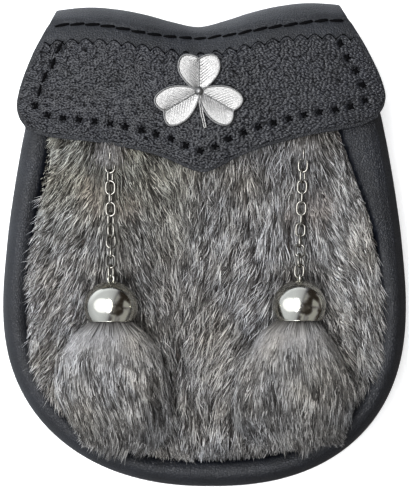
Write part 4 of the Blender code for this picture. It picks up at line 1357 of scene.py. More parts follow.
    @staticmethod
    def in_edge(edge: np.ndarray, point: Vector, clear: float = 0.9) -> bool:
        """Whether a point lies inside the half leaf, clear of its bead."""
        if point.x < 0.1:
            return False
        ring = np.vstack([edge, edge[:1]])
        x, y = ring[:-1].T
        next_x, next_y = ring[1:].T
        reached = (next_x - x) * (point.y - y) / (next_y - y + 1e-12) + x
        crosses = ((y > point.y) != (next_y > point.y)) & (point.x < reached)
        return bool(crosses.sum() % 2) and np.linalg.norm(edge - np.array(point), axis=1).min() > clear

    def boss(self) -> Object:
        """The round boss in the middle."""
        radius = self.boss_radius * MM
        dome = primitive(bpy.ops.mesh.primitive_uv_sphere_add, segments=28, ring_count=16, radius=radius)
        with editing(dome):
            bpy.ops.mesh.bisect(plane_co=(0, 0, 0), plane_no=(0, 0, 1), clear_inner=True, use_fill=True)
            bpy.ops.mesh.select_all(action="SELECT")
            taller = self.boss_height / self.boss_radius
            bpy.ops.transform.resize(value=(1.0, 1.0, taller), center_override=(0.0, 0.0, 0.0))
        return dome

    def stalk(self, steps: int = 24) -> Object:
        """The stem: a tapering bar with a groove along its middle."""
        t = np.linspace(0, 3, steps + 1)
        x, y, half = read_rows(self.stem, t)
        x += self.stem_bend * np.sin(math.pi * t / 3)
        section = np.array([*((-a, z) for a, z in self.stem_section[:0:-1]), *self.stem_section])
        bar, i, k = numbered_grid(steps, len(section) - 1)
        line = np.column_stack([x, y])
        across = square_to(unit(np.gradient(line, axis=0)))[i] * (section[k, 0] * half[i])[:, None]
        move_points(bar, raised(line[i] + across, section[k, 1]) * MM)
        close_ends(bar)
        return bar

    def build(self) -> None:
        """Casts the parts together and sets them on the pebbled layer."""
        parts = [part for leaf in self.leaves for part in self.leaf(*leaf)]
        badge = joined("shamrock", [*parts, self.stalk(), self.boss()])
        badge.data.transform(place_matrix(*from_flap(np.array([self.x - FLAP_PIVOT_X, self.y, self.foot]))))
        finish_piece(badge, Finish.PEWTER, ["shamrock_badge"], 32.0)


# ---------------------------------------------------------------- fur


@dataclass
class Hairs:
    """Many hairs, each a slim closed blade with three sides that bends once and ends in a point."""

    roots: np.ndarray
    mids: np.ndarray
    tips: np.ndarray
    width: np.ndarray
    shades: np.ndarray  # linear colours, (hairs, 3 places, 3 channels)

    def plus(self, other: Hairs) -> Hairs:
        """These hairs and some others."""
        return Hairs(*(np.concatenate(pair) for pair in zip(vars(self).values(), vars(other).values())))

    def part(self, chosen: np.ndarray) -> Hairs:
        """The chosen hairs."""
        return Hairs(*(value[chosen] for value in vars(self).values()))

    def build(self, name: str) -> None:
        """Makes the hairs one piece with the attribute `shade`: seven points and ten triangles to a hair."""
        count = len(self.roots)
        ahead = unit(self.tips - self.roots)
        up = np.array([0.0, 0.0, 1.0]) - ahead * ahead[:, 2:3]
        up /= np.linalg.norm(up, axis=1, keepdims=True) + 1e-9
        side = np.cross(ahead, up)
        points = np.empty((count, 7, 3))
        for first, middle, share in ((0, self.roots, 0.8), (3, self.mids, 1.0)):
            half = side * (self.width * share / 2)[:, None]
            points[:, first] = middle - half
            points[:, first + 1] = middle + up * (self.width * share * 0.6)[:, None]
            points[:, first + 2] = middle + half
        points[:, 6] = self.tips
        pattern = np.array([
            (0, 2, 1), (0, 1, 4), (0, 4, 3), (1, 2, 5), (1, 5, 4), (2, 0, 3), (2, 3, 5), (3, 4, 6),
            (4, 5, 6), (5, 3, 6),
        ])  # fmt: skip
        faces = (pattern[None] + np.arange(count)[:, None, None] * 7).reshape(-1, 3)
        mesh = bpy.data.meshes.new(name)
        mesh.from_pydata(placed(points.reshape(-1, 3)).tolist(), [], faces.tolist())
        shade = np.ones((count, 7, 4), np.float32)
        for place, where in enumerate((slice(0, 3), slice(3, 6), slice(6, 7))):
            shade[:, where, :3] = self.shades[:, place, None]
        mesh.color_attributes.new("shade", "FLOAT_COLOR", "POINT").data.foreach_set("color", shade.ravel())
        finish_piece(linked(name, mesh), Finish.FUR, smooth=180.0)


@dataclass(frozen=True)
class Coat:
    """Colours along a hair, from root to tip, of bright, grey, dark and plain soft hairs; the dark roots are
    partly the underfur's own colour and partly painted shade deep in the coat.
    """

    bright: tuple[str, str, str] = ("#444240", "#aaa7a3", "#f6f4f1")
    grey: tuple[str, str, str] = ("#373533", "#6c6966", "#a9a6a2")
    dark: tuple[str, str, str] = ("#2c2a29", "#45423f", "#3a3735")
    soft: tuple[str, str, str] = ("#4f4b48", "#8d8782", "#9d9792")
    bright_share: float = 0.3
    dark_share: float = 0.28
    palest: float = 0.95

    def paint(self, wild: np.random.Generator, tone: np.ndarray, mood: np.ndarray,
              softness: np.ndarray) -> np.ndarray:  # fmt: skip
        """Colours for each hair.

        Args:
            wild: Randomness.
            tone: Brightness of each hair's place, about 1, with painted light and shade in it.
            mood: Normal noise that hairs of one lock share, which makes them bright or dark together.
            softness: 0 for grizzled hairs, 1 for plain soft ones.

        Returns:
            Linear colours, (hairs, 3 places, 3 channels).
        """
        rank = mood * 0.42 + wild.normal(0, 0.9, len(tone))
        high, low = np.quantile(rank, 1 - self.bright_share), np.quantile(rank, self.dark_share)
        kinds = np.array([[linear(c) for c in run] for run in (self.bright, self.grey, self.dark, self.soft)])
        shades = kinds[np.where(rank > high, 0, np.where(rank < low, 2, 1))]
        shades = shades + (kinds[3] - shades) * softness[:, None, None]
        return np.clip(shades * (tone * wild.uniform(0.8, 1.2, len(tone)))[:, None, None], 0.0, self.palest)


# How the coat was brushed, as (x, lean) with the lean in degrees from straight down, to the right.
# It parts down both chains and falls out over the left border. Halfway down the middle sweeps left.
LIE_HIGH = Curve((
    (-76, -45), (-54, -35), (-42, 0), (-30, 30), (-12, 15), (0, -5), (22, 0), (42, 0), (54, 30), (76, 15),
))  # fmt: skip
LIE_MIDDLE = Curve((
    (-76, -30), (-54, -28), (-42, -4), (-30, 18), (-12, 2), (4, -22), (24, -28), (42, 0), (54, 30), (76, 15),
))  # fmt: skip
# At the bottom the locks close up towards the middle.
LIE_LOW = Curve(((-76, 30), (-40, 18), (0, 2), (40, -10), (76, -35)))


def lie_at(x: np.ndarray, y: np.ndarray) -> np.ndarray:
    """The fur's lie at some places, in radians."""
    high, low = smoothstep(-15, 25, y), smoothstep(-46, -84, y)
    return np.radians(LIE_HIGH.held(x) * high + LIE_MIDDLE.held(x) * (1 - high - low) + LIE_LOW.held(x) * low)


def way_down(lean: np.ndarray) -> np.ndarray:
    """Directions in the plane, by their lean from straight down to the right."""
    return np.column_stack([np.sin(lean), -np.cos(lean)])


@dataclass(frozen=True)
class FurLayer:
    """One layer of the panel's hairs, in millimetres."""

    seed: int
    spacing: float
    length: float
    width: float
    # How high the tips stand over the hide.
    rise: float
    # How far the tips of a lock draw together, as a share.
    pull: float
    coat: Coat


@dataclass
class FurPanel:
    """The rabbit pelt on the front: a padded hide, and hairs that part round the two chains."""

    # A close undercoat, and longer guard hairs over it.
    layers: tuple[FurLayer, ...] = (
        FurLayer(21, 0.955, 8.2, 0.465, 2.3, 0.3, Coat(bright_share=0.22, dark_share=0.38)),
        FurLayer(22, 1.13, 12.0, 0.365, 3.5, 0.55, Coat(bright_share=0.4, dark_share=0.22)),
    )
    tuft: tuple[float, float] = (2.6, 6.8)
    shortest: float = 3.5
    longest: float = 17.0
    # Where the tips end inside the body's edge, as (y, inset).
    left_end: Curve = Curve((
        (-95, 12.5), (-78, 9.5), (-60, 8.5), (-37, 11.8), (-20, 10.4), (2, 12.0), (23, 15.0), (34, 15.0),
        (44, 11.2), (52, 9.6),
    ))  # fmt: skip
    right_end: Curve = Curve((
        (-95, 12.8), (-78, 11.4), (-62, 8.5), (-38, 8.8), (-18, 10.6), (-2, 11.2), (10, 12.5), (30, 16.5),
        (55, 20.3),
    ))  # fmt: skip
    # Places with short soft fur beside the chains, as (x, y, radius).
    soft_spots: tuple[tuple[float, float, float], ...] = (
        (-34.6, 20.5, 6.5), (-48.0, 27.5, 6.5), (48.8, 20.0, 7.5), (37.5, 17.5, 4.5), (-46.5, 20.0, 3.5),
    )  # fmt: skip
    # The sheet of the pelt: faces each way, thickness, and the share of its edge up each side.
    pelt_faces: int = 92
    pelt_thickness: float = 2.4
    pelt_corner: float = 0.35
    # The highest that the fur may stand: under the flap, a tassel and a bell.
    under_flap: float = 36.6
    under_tassel: float = 34.6
    under_bell: float = 33.2
    stray_count: int = 230
    pieces: int = 3

    def hide_top(self, x: np.ndarray, y: np.ndarray) -> np.ndarray:
        """Height of the hide's upper face."""
        u, v = np.clip((x + 76) / 152, 0, 1), np.clip((HIDE_TOP_Y - y) / 164, 0, 0.98)
        return HIDE_Z + HIDE_THICKNESS + 1.5 * np.sin(math.pi * u) * np.sin(math.pi * v)

    def ceiling(self, x: np.ndarray, y: np.ndarray) -> np.ndarray:
        """The highest that the fur may stand, where something lies on it."""
        own_y = y - (x - FLAP_PIVOT_X) * math.tan(FLAP_TURN)
        low = FLAP_LOWER.at(np.minimum(np.abs(x - FLAP_PIVOT_X), 76.0))
        top = np.where(own_y > low - 2.0, self.under_flap, 60.0)
        for drop in DROPS:
            beside, above = np.abs(x - drop.bell_x), y - drop.bell_y
            tassel = (beside < 17) & (above > -60) & (above < -6)
            bell = (beside < 13) & (above > -12) & (above < 12)
            top = np.where(tassel, np.minimum(top, self.under_tassel), top)
            top = np.where(bell, np.minimum(top, self.under_bell), top)
        return top

    def ground(self, places: np.ndarray, depth: np.ndarray) -> np.ndarray:
        """Height of what the hairs lie on: the hide, or the rolled border near the edge."""
        return np.maximum(border_top(*places.T, depth), self.hide_top(*places.T) + 1.0)

    @staticmethod
    def tassel_shade(x: np.ndarray, y: np.ndarray) -> np.ndarray:
        """Painted shadow that the bells and tassels cast on the coat beside them, most on their right."""
        shade = np.zeros(len(x))
        for drop in DROPS:
            below = drop.mouth_y() - y
            middle, half = read_rows(drop.shape, below)
            off = x - (drop.bell_x + middle)
            past = np.clip(np.abs(off) - half, 0, None)
            # Painted shadow beside each tassel, and a ring of it round each bell.
            own = np.where(off > 0, 0.6 * hump(past, 2.4), 0.28 * hump(past, 3.0))
            own *= smoothstep(-3, 6, below) * (1 - smoothstep(50, 62, below))
            ring = np.hypot(x - drop.bell_x, y - drop.bell_y) - BELL_RADIUS
            bell_shadow = (0.3 + 0.2 * (x > drop.bell_x)) * hump(ring.clip(0), 2.2)
            shade = np.maximum(shade, np.maximum(own, bell_shadow))
        return shade

    def pelt(self) -> None:
        """The padded hide with its underfur, from the border's inside up under the flap."""
        edge = BODY_OUTLINE.inset(HIDE_INSET).below(HIDE_TOP_Y)
        corner = self.pelt_corner

        def form(u: np.ndarray, v: np.ndarray) -> np.ndarray:
            """A patch blended from its four edges, dented between the tufts."""
            down = 1 - v
            a, b, c, d = (edge.at(share) for share in (0.0, 1.0, corner, 1 - corner))
            left, right = edge.at(corner * down), edge.at(1 - corner * down)
            low, across, deep = edge.at(corner + (1 - 2 * corner) * u), u[:, None], down[:, None]
            top = a + (b - a) * across
            flat = left + (right - left) * across + top + (low - top) * deep
            flat -= top + ((c + (d - c) * across) - top) * deep
            x, y = flat.T
            z = self.hide_top(x, y) + 1.7 - 1.3 * cell_noise(x / 4.0, y / 6.0, 3)[0]
            z -= (z - 30.4) * (1 - smoothstep(15, 22, BODY_OUTLINE.depth_of(flat)))
            return raised(flat, np.minimum(z, self.ceiling(x, y) - 1.5))

        sheet = formed_sheet("pelt", self.pelt_faces, self.pelt_faces, form)
        thicken(sheet, self.pelt_thickness, -1.0)
        finish_piece(sheet, Finish.UNDERFUR, ["fur_panel"], 60.0)

    def rooted(self, layer: FurLayer, wild: np.random.Generator) -> np.ndarray:
        """A layer's roots, scattered from a grid over the hide."""
        x, y = np.meshgrid(np.arange(-80, 80, layer.spacing), np.arange(-97, 66, layer.spacing))
        x = x.ravel() + wild.uniform(-0.5, 0.5, x.size) * layer.spacing
        y = y.ravel() + wild.uniform(-0.5, 0.5, y.size) * layer.spacing
        root = np.column_stack([x, y])
        start = np.where(x > 0, np.maximum(HIDE_INSET, LIP_END.held(y) + 0.9), HIDE_INSET)
        return root[(BODY_OUTLINE.depth_of(root) > start) & (y > -96)]

    def softness(self, x: np.ndarray, y: np.ndarray) -> np.ndarray:
        """How short and plain the fur is at some places."""
        soft = np.zeros(len(x))
        for spot_x, spot_y, radius in self.soft_spots:
            away = np.hypot(x - spot_x, (y - spot_y) * 0.8) / radius
            soft = np.maximum(soft, 1 - smoothstep(0.55, 1.15, away))
        return soft

    @staticmethod
    def patches(x: np.ndarray, y: np.ndarray) -> np.ndarray:
        """Brightness of the broad patches where the coat is darker or paler."""
        first, second = cell_noise((x + 3 * np.sin(y * 0.09)) / 12.0, y / 16.0, 7)
        return 0.88 + 0.26 * smoothstep(0.05, 0.7, second - first) - 0.1 * smoothstep(0.5, 0.9, first)

    def daylight(self, x: np.ndarray, y: np.ndarray, fringe: np.ndarray) -> np.ndarray:
        """Painted light and shade on the coat, by the hairs' places and their distance from the fringe."""
        # Painted light to the right and at the far left, painted shade towards the top, and a darker patch left
        # of the middle.
        sides = 0.46 * smoothstep(10, 70, x) + 0.15 * smoothstep(40, 75, -x) - 0.3 * smoothstep(8, 46, y)
        sides -= 0.48 * np.exp(-(((x + 25) / 14) ** 2) - (((y + 2) / 22) ** 2))
        # The right side turns away from the window, most of all low down and at the fringe.
        low_right = 0.5 * smoothstep(-25, -60, y) * smoothstep(20, 60, x)
        sides -= low_right + 0.5 * (1 - smoothstep(0.0, 4.5, fringe))
        return 1.42 + sides

    def hairs(self, layer: FurLayer) -> Hairs:
        """The hairs of one layer."""
        wild = np.random.default_rng(layer.seed)
        root = self.rooted(layer, wild)
        x, y = root.T
        count = len(x)

        # Locks: hairs near one another share a turn, a length and a tone, and draw together.
        tuft_width, tuft_height = self.tuft
        cell_y = np.floor(y / tuft_height)
        cell_x = np.floor(x / tuft_width + 0.5 * (cell_y % 2))
        mood = np.random.default_rng(4).normal(size=(256, 256, 5)).clip(-2, 2)
        turned, longer, higher, aside, brighter = mood[cell_x.astype(int) % 256, cell_y.astype(int) % 256].T
        centre_x = (cell_x + 0.5 - 0.5 * (cell_y % 2)) * tuft_width + aside * 0.5
        ahead = way_down(lie_at(x, y) + np.radians(10.0 * turned + wild.normal(0, 8.5, count)))

        soft = self.softness(x, y)
        length = layer.length * (1 + 0.16 * longer + wild.normal(0, 0.12, count)) * (1 - 0.55 * soft)
        length = np.clip(length, self.shortest, self.longest)
        inwards = (centre_x - x) * np.abs(ahead[:, 1]) * layer.pull * (1 - soft)
        tip = root + ahead * length[:, None] + np.column_stack([inwards, np.zeros(count)])
        tip = self.held_in(root, tip, wild)
        mid = root * 0.48 + tip * 0.52 - square_to(ahead) * wild.normal(0, 0.3, count)[:, None]

        # The hairs lie lower towards the edge, and lowest where the lip lies over them.
        tip_depth, mid_depth = BODY_OUTLINE.depth_of(tip), BODY_OUTLINE.depth_of(mid)
        stand = (layer.rise + 0.7 * higher + wild.normal(0, 0.5, count)).clip(0.5, 7.0) * (1 - 0.6 * soft)
        under_lip = (tip[:, 0] > 0) & (tip[:, 1] > 2)
        end = np.where(under_lip, LIP_END.held(tip[:, 1]) + 0.8, 9.5)
        lying = np.where(under_lip, 0.15, 0.45)
        lying = lying + np.where(under_lip, 0.85, 0.55) * smoothstep(0, 6.5, tip_depth - end)
        mid_z = self.ground(mid, mid_depth) + stand * 0.8 * lying
        tip_z = self.ground(tip, tip_depth) + stand * wild.uniform(0.65, 1.15, count) * lying
        root_z = self.hide_top(x, y) + 0.6
        mid_z = np.where(under_lip, np.minimum(mid_z, np.maximum(tip_z, root_z) + 0.8), mid_z)

        # The hairs between two locks lie deep, in the locks' shade.
        between = np.clip(np.abs(x - centre_x) / (tuft_width / 2), 0, 1.3) ** 2
        fringe = np.where(tip[:, 0] > 0, tip_depth - self.right_end.held(tip[:, 1]), 9.0)
        # Random patches, with painted light on the higher locks, painted shade between locks, and the coat's
        # painted daylight.
        tone = self.patches(x, y) * (1 + 0.13 * higher) * (1.14 - 0.34 * between) * self.daylight(x, y, fringe)
        tone *= 1 - self.tassel_shade(*(mid * 0.4 + tip * 0.6).T)
        shades = layer.coat.paint(wild, tone, brighter, soft)
        # The coat yellows a little towards the top left.
        warm = smoothstep(-10, 40, y) * smoothstep(-20, 30, -x)
        shades[:, :, 2] *= (1 - 0.1 * warm)[:, None]
        width = layer.width * wild.uniform(0.7, 1.25, count) * (1 + 0.25 * soft)
        mid, tip = (
            raised(spot, np.minimum(z, self.ceiling(*spot.T))) for spot, z in ((mid, mid_z), (tip, tip_z))
        )
        over_lip = (tip[:, 0] > 0) & (tip[:, 1] > 0) & (tip_depth < LIP_END.held(tip[:, 1]) + 0.3)
        return Hairs(raised(root, root_z), mid, tip, width, shades).part(~over_lip)

    def held_in(self, root: np.ndarray, tip: np.ndarray, wild: np.random.Generator) -> np.ndarray:
        """Shortens hairs whose tips would pass the coat's ragged edge."""
        depth = BODY_OUTLINE.depth_of(tip)
        left, y = tip[:, 0] < body_middle(tip[:, 1]), np.clip(tip[:, 1], -95, 55)
        ragged = np.where(left, 0.9, 0.9 - 0.65 * smoothstep(-5, 12, y))
        least = np.where(left, self.left_end.at(y), self.right_end.at(y))
        least = least + wild.normal(0, 1, len(tip)).clip(-1.3, 3) * ragged
        over = (least - depth) / np.maximum(BODY_OUTLINE.depth_of(root) - depth, 0.1)
        keep = np.where(depth < least, np.clip(1 - over, 0.15, 1.0), 1.0)
        return root + (tip - root) * keep[:, None]

    def strays(self) -> Hairs:
        """Long thin hairs that stand out over the border."""
        wild = np.random.default_rng(77)
        line = BODY_OUTLINE.inset(16.5).below(48.0)
        share = wild.uniform(0.04, 0.96, self.stray_count)
        # None where the leather lies over the fur, on the right.
        share = share[line.at(share) @ (0.6, 0.8) < 32.0]
        # Most are on the left, where the coat is brushed out over the roll.
        share = share[(line.at(share)[:, 0] < 0) | (np.arange(len(share)) % 5 < 2)]
        root, count = line.at(share), len(share)
        along = line.at(np.clip(share + 0.003, 0, 1)) - line.at(np.clip(share - 0.003, 0, 1))
        lie = way_down(lie_at(*root.T) + wild.normal(0, 0.3, count))
        ahead = unit(lie - unit(square_to(along)) * wild.uniform(-0.3, 0.7, count)[:, None])
        left = root[:, 0] < 0
        length = wild.uniform(4, 10.5, count) + np.where(left, 2.5, 0.0)
        length *= np.where(root[:, 1] < -74, 0.6, 1.0)
        tip = root + ahead * length[:, None]
        mid = (root + tip) / 2 + wild.normal(0, 0.4, (count, 2))
        mid_z = self.ground(mid, BODY_OUTLINE.depth_of(mid)) + wild.uniform(0.8, 2.6, count)
        tip_z = self.ground(tip, BODY_OUTLINE.depth_of(tip)) + wild.uniform(0.3, 1.8, count)
        root_z = self.hide_top(*root.T) + 0.8
        shades = Coat(bright_share=0.8, dark_share=0.1).paint(wild, np.full(count, 1.4), *np.zeros((2, count)))
        width = np.where(left, 0.24, 0.17)
        return Hairs(raised(root, root_z), raised(mid, mid_z), raised(tip, tip_z), width, shades)

    def chain_cover(self) -> Hairs:
        """Locks that fall over the tops of the chains, just below the flap."""
        wild = np.random.default_rng(31)
        covers = []
        for drop, low, count in ((DROPS[0], 33.5, 420), (DROPS[1], 36.6, 520)):
            x = drop.top_x + wild.normal(0, 2.6, count)
            y = wild.uniform(low + 5.0, low + 15.0, count)
            end = np.maximum(y - wild.uniform(7, 10.5, count), low + wild.normal(0, 1.2, count))
            lean = (x - drop.top_x) * 0.35 + wild.normal(0, 0.7, count)
            root = np.column_stack([x, y, np.full(count, 35.6)])
            mid = np.column_stack([x + lean * 0.5, (y + end) / 2, wild.uniform(38.5, 41.6, count)])
            tip = np.column_stack([x + lean, end, wild.uniform(38.5, 42.0, count)])
            mid[:, 2] = np.where(mid[:, 1] > 44.5, np.minimum(mid[:, 2], 37.6), mid[:, 2])
            shades = Coat().paint(wild, np.full(count, 0.95), np.zeros(count), np.full(count, 0.25))
            covers.append(Hairs(root, mid, tip, np.full(count, 0.42), shades))
        return covers[0].plus(covers[1])

    def build(self) -> None:
        """Makes the pelt and its hairs, in pieces from the bottom up."""
        self.pelt()
        under, guard = (self.hairs(layer) for layer in self.layers)
        hairs = under.plus(guard)
        parts = [hairs.part(chosen) for chosen in np.array_split(np.argsort(hairs.roots[:, 1]), self.pieces)]
        parts[-1] = parts[-1].plus(self.chain_cover())
        parts[0] = parts[0].plus(self.strays())
        for i, part in enumerate(parts, 1):
            part.build(f"panel_hair_{i}")


# ---------------------------------------------------------------- chains, bells and tassels


@dataclass(frozen=True)
class Drop:
    """One chain with its bell and tassel, by the places of their middles."""

    side: str
    bell_x: float
    bell_y: float
    top_x: float
    # How each link is turned about the chain, in degrees, from the top down.
    rolls: tuple[float, ...]
    # The tassel's outline: distance below the mouth, its middle beside the bell's, half its width.
    shape: tuple[tuple[float, float, float], ...]
    seed: int

    def eye(self) -> np.ndarray:
        """The middle of the bell's eye."""
        return np.array([self.bell_x, self.bell_y + BELL_CROWN + 0.9, BELL_Z])

    def mouth_y(self) -> float:
        """Height of the bell's mouth."""
        return self.bell_y + BELL_RADIUS * math.cos(BELL_MOUTH)


DROPS = (
    Drop("left", -40.8, -27.2, -41.6, (90, 0, 60, 0, 80, 0, 55, 130, 10, 90, 0, 60), (
        (-6.0, 0.0, 8.6), (-0.5, 0.2, 9.0), (2.5, 0.6, 11.6), (6.0, 0.0, 15.6), (12.0, 0.2, 19.9),
        (16.0, -0.5, 21.6), (24.0, 0.1, 22.9), (31.0, 0.6, 23.6), (36.0, 2.1, 22.8), (40.0, 3.5, 21.5),
        (48.0, 5.4, 19.4), (53.0, 6.0, 17.6), (56.5, 5.6, 14.5), (59.5, 4.0, 8.0)), 3),
    Drop("right", 41.2, -26.8, 44.0, (90, -10, 60, 0, 90, 0, 90, 5, 80, 8, 70, 12), (
        (-6.0, 0.0, 8.6), (-0.5, -0.6, 9.0), (1.5, -1.4, 10.8), (7.0, -2.4, 14.8), (15.0, -2.8, 18.7),
        (24.0, -2.3, 22.6), (31.0, -2.5, 24.5), (38.0, -3.0, 24.6), (45.0, -3.0, 23.2), (50.0, -2.4, 21.0),
        (53.0, -1.6, 16.6), (56.5, -1.0, 10.0), (59.0, -1.0, 5.0)), 8),
)  # fmt: skip


@dataclass
class Chain:
    """Oval cable links from the bell's eye up into the fur."""

    drop: Drop
    length: float = 7.0
    width: float = 5.0
    wire: float = 0.55
    pitch: float = 4.72
    top_y: float = 46.0
    # Where the chain lies on the fur, over the back.
    lying_z: float = 39.2

    def line(self) -> np.ndarray:
        """The chain's way as rows of the distance from the eye and the point there."""
        start = self.drop.eye()
        t = np.linspace(0, 1, 61)
        y = start[1] + (self.top_y + 10 - start[1]) * t
        x = start[0] + (self.drop.top_x - start[0]) * t
        z = BELL_Z + (self.lying_z - BELL_Z) * smoothstep(0.0, 18.0, y - start[1] - 2)
        points = np.column_stack([x, y, z])
        return np.column_stack([np.r_[0, np.cumsum(np.linalg.norm(np.diff(points, axis=0), axis=1))], points])

    def link(self) -> Object:
        """An oval link along X: a ring whose two halves are moved apart."""
        radius = (self.width / 2 - self.wire) * MM
        ring = primitive(bpy.ops.mesh.primitive_torus_add, major_segments=20, minor_segments=8,
                         major_radius=radius, minor_radius=self.wire * MM)  # fmt: skip
        half = (self.length - self.width) / 2 * MM
        for way in (1, -1):
            with editing(ring, lambda vert, way=way: vert.co.x * way > 1e-6):
                bpy.ops.transform.translate(value=(half * way, 0, 0))
        return ring

    def build(self) -> None:
        """Hangs the links on one another."""
        line = self.line()

        def at(distance: float) -> np.ndarray:
            """The chain's point at a distance from the eye."""
            return np.array(read_rows(line, distance))

        first = Bell.eye_radius - Bell.eye_wire - self.wire - GAP + self.length / 2 - self.wire
        pattern = self.link()
        links = []
        for i, roll in enumerate(reversed(self.drop.rolls)):
            far = first + i * self.pitch
            ahead = Vector(at(far + 1) - at(far - 1)).normalized()
            side = Vector((0, 0, 1)).cross(ahead).normalized()
            turned = Matrix((ahead, side, ahead.cross(side))).transposed().to_4x4()
            rolled = Matrix.Rotation(math.radians(roll), 4, "X")
            links.append(copy_at(pattern, Matrix.Translation(placed(at(far))) @ turned @ rolled))
        discard(pattern)
        names = [f"link_{self.drop.side}_{i:02d}" for i in range(1, len(links) + 1)]
        finish_piece(joined(f"cable_chain_{self.drop.side}", links), Finish.WIRE, names, 80.0)


@dataclass
class Bell:
    """The plated cup: a sphere cut off below its widest line, with a rolled lip and an eye."""

    drop: Drop
    wall: float = 0.8
    eye_radius: float = 1.5
    eye_wire: float = 0.45

    def cup(self) -> Object:
        """The turned cup, its mouth up along Z."""
        cup = primitive(bpy.ops.mesh.primitive_uv_sphere_add, segments=64, ring_count=40,
                        radius=BELL_RADIUS * MM)  # fmt: skip
        with editing(cup):
            bpy.ops.mesh.bisect(plane_co=(0, 0, self.mouth), plane_no=(0, 0, 1), clear_inner=True)
        with editing(cup, lambda vert: vert.co.z > 1e-6):
            bpy.ops.transform.resize(value=(1, 1, BELL_CROWN / BELL_RADIUS), center_override=(0, 0, 0))
        apply_modifier(cup, "SOLIDIFY", thickness=self.wall * MM, offset=-1.0)
        return cup

    @property
    def mouth(self) -> float:
        """The mouth's place along the cup, in metres."""
        return BELL_RADIUS * math.cos(BELL_MOUTH) * MM

    def lip(self) -> Object:
        """The rolled edge round the mouth."""
        radius = BELL_RADIUS * math.sin(BELL_MOUTH) * MM - 0.7 * MM
        lip = primitive(bpy.ops.mesh.primitive_torus_add, major_segments=64, minor_segments=10,
                        major_radius=radius, minor_radius=0.35 * MM)  # fmt: skip
        lip.data.transform(Matrix.Translation((0, 0, self.mouth)))
        return lip

    def build(self) -> None:
        """Lays the cup on its side, and solders the eye on its crown."""
        cup, lip = self.cup(), self.lip()
        turn = Matrix.Rotation(-math.pi / 2, 4, "X")
        for part in (cup, lip):
            part.data.transform(place_matrix(self.drop.bell_x, self.drop.bell_y, BELL_Z) @ turn)
        eye = primitive(bpy.ops.mesh.primitive_torus_add, major_segments=24, minor_segments=10,
                        major_radius=self.eye_radius * MM, minor_radius=self.eye_wire * MM)  # fmt: skip
        roll = math.radians(self.drop.rolls[-1] + 90)
        eye.data.transform(place_matrix(*self.drop.eye()) @ Matrix.Rotation(roll, 4, "Y"))
        bell = joined(f"bell_cup_{self.drop.side}", [cup, lip, eye])
        finish_piece(bell, Finish.NICKEL, [f"bell_{self.drop.side}"], 50.0)


